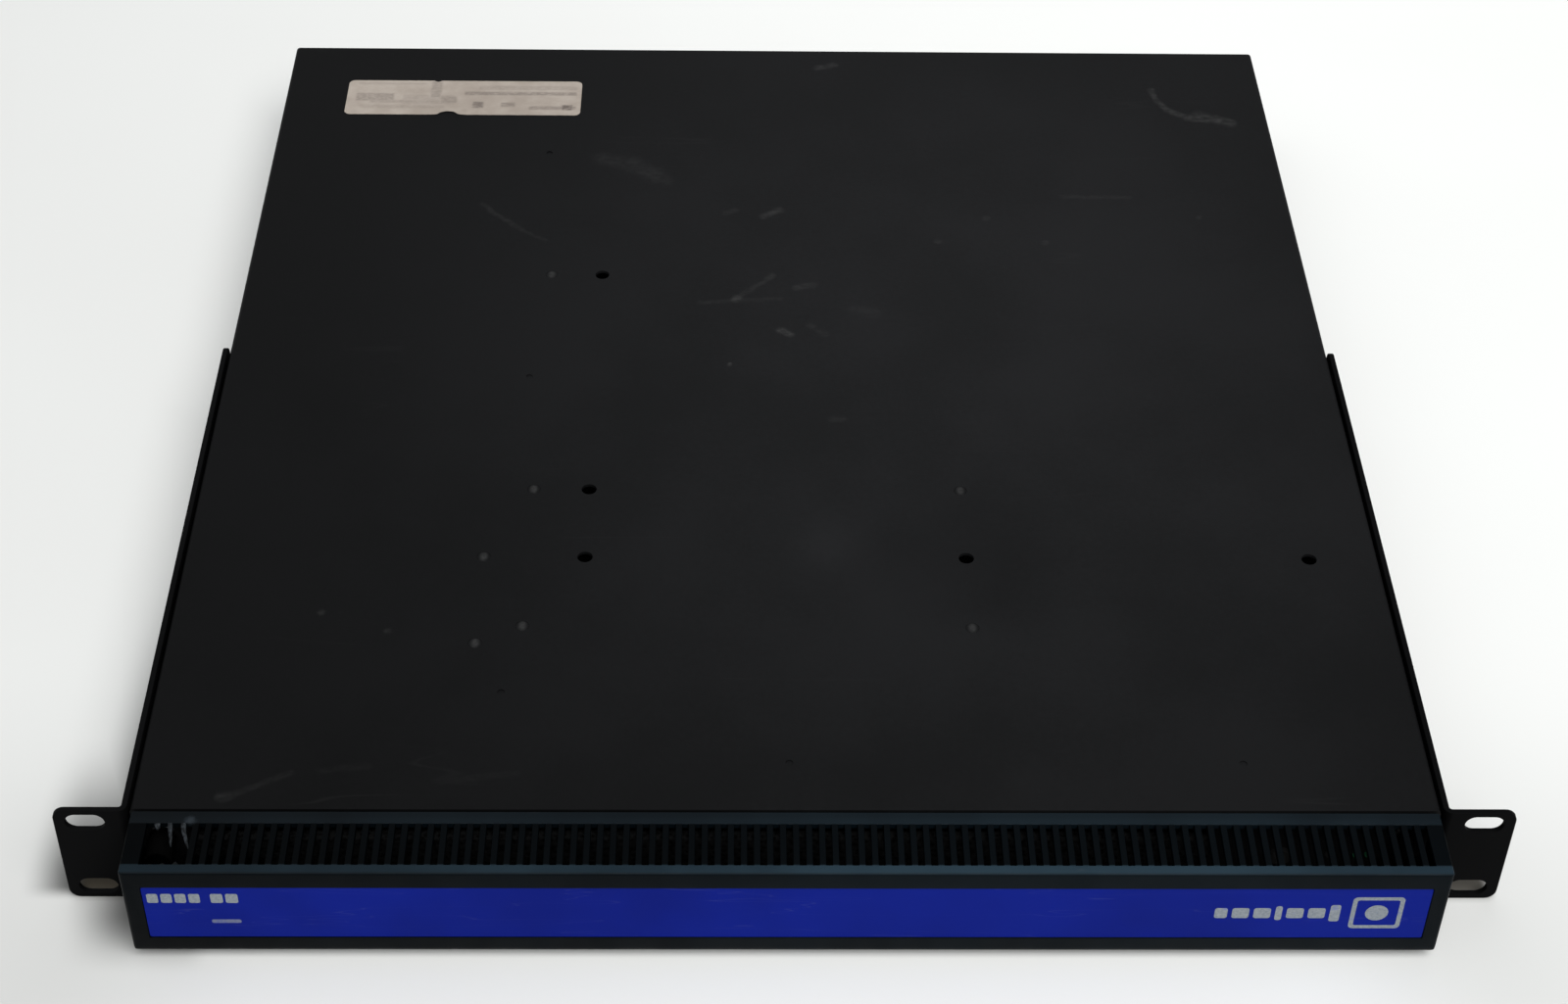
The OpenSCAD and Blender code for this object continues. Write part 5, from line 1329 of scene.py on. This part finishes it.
def floor_look():
    """Pale paper that fades into the backdrop far from the object."""
    look = Look("pale_floor")
    cloud = look.noise(160, 2.0)
    colour = look.blend(cloud, 0.3, 0.7, (0.795, 0.798, 0.784, 1), (0.805, 0.81, 0.796, 1))
    # painted light: the floor made lighter towards the right and darker towards the front
    near = look.times(look.step(look.x, -450, 180, 0.86, 1.05), look.step(look.y, -190, -20, 0.93, 1.0))
    # painted shade: the darker corners in front of the object
    aside = look.step(look.calc("ABSOLUTE", look.x), 165, 250)
    distance = look.vector("LENGTH", look.place)
    corner = look.times(aside, look.step(look.y, -50, 120, 0.17, 0.0), look.fall(distance, 290, 560))
    # the soft shade to the left of the ear and of the bezel
    ear_side = look.times(look.step(look.x, -260, -242), look.step(look.y, -2, 5),
                          look.step(look.y, 10, 75, 0.75, 0.0))
    bezel_side = look.times(look.step(look.x, -243, -219), look.step(look.y, -34, -6, 0.0, 0.78))
    side = look.times(look.most(ear_side, bezel_side), look.fall(look.x, -200, -190),
                      look.fall(look.y, 50, 170))
    colour = look.tint(colour, look.times(near, look.inverse(corner), look.inverse(side)))
    # deep contact shade between the ears and the brackets
    ears = look.window(look.calc("ABSOLUTE", look.x), 217, 240, 3.0)
    shade = look.times(look.window(look.y, 1, 17, 3.5), ears, 0.90)
    colour = look.mix(shade, colour, (0.055, 0.045, 0.03, 1))
    rough = look.step(look.noise(3.0, 2.0), 0.3, 0.7, 0.8, 0.9)
    material = look.surface(colour, rough, shine=0.12, bumps=[(look.noise(1.4, 2.0), 0.02)])
    surface = look.tree.nodes["Material Output"].inputs["Surface"]
    paper = surface.links[0].from_socket
    glow = look.node("ShaderNodeEmission", [("Color", BACKDROP)])
    far = look.step(distance, 750, 1700)
    joined = look.node("ShaderNodeMixShader", [(0, far), (1, paper), (2, glow.outputs[0])])
    look.feed(surface, joined.outputs[0])
    return material


def make_stage():
    """A wide pale floor, soft light from above and a pale surrounding."""
    ground = cad_bounds[0].z
    reach = 30.0
    data = bpy.data.meshes.new("floor")
    data.from_pydata([(-reach, -reach, ground), (reach, -reach, ground), (reach, reach, ground),
                      (-reach, reach, ground)], [], [(0, 1, 2, 3)])
    floor = add_object("floor", data)
    data.materials.append(floor_look())

    world = bpy.data.worlds.new("surround")
    bpy.context.scene.world = world
    world.use_nodes = True
    tree = Tree(world.node_tree)
    direct = tree.node("ShaderNodeLightPath").outputs["Is Camera Ray"]
    seen = tree.node("ShaderNodeBackground", [("Color", BACKDROP)])
    light = tree.node("ShaderNodeBackground", [("Color", (0.93, 0.97, 1.0, 1)), ("Strength", 0.28)])
    joined = tree.node("ShaderNodeMixShader", [(0, direct), (1, light.outputs[0]), (2, seen.outputs[0])])
    tree.node("ShaderNodeOutputWorld", [(0, joined.outputs[0])])


def soft_sun(name, strength, spread, azimuth, elevation, colour):
    """A wide, soft light from one direction of the sky."""
    data = bpy.data.lights.new(name, "SUN")
    data.energy = strength
    data.angle = math.radians(spread)
    data.color = colour
    a, e = math.radians(azimuth), math.radians(elevation)
    towards = Vector((math.sin(a) * math.cos(e), -math.cos(a) * math.cos(e), math.sin(e)))
    add_object(name, data).rotation_euler = towards.to_track_quat("Z", "Y").to_euler()


def make_lights():
    soft_sun("key", 3.05, 50, 22, 58, (1.0, 0.998, 0.99))
    soft_sun("fill", 0.5, 90, 205, 42, (0.98, 0.99, 1.0))


def make_camera():
    data = bpy.data.cameras.new("camera")
    data.lens = 63.49
    data.shift_y = -0.0153
    data.clip_end = 100.0
    camera = add_object("camera", data)
    camera.location = (-0.01924, -0.60727, 0.70599)
    camera.rotation_euler = [math.radians(a) for a in (48.483, -0.900, -0.666)]
    bpy.context.scene.camera = camera


dress_frame()
build_pieces()
make_stage()
make_lights()
make_camera()
bpy.context.scene.view_settings.view_transform = "Standard"
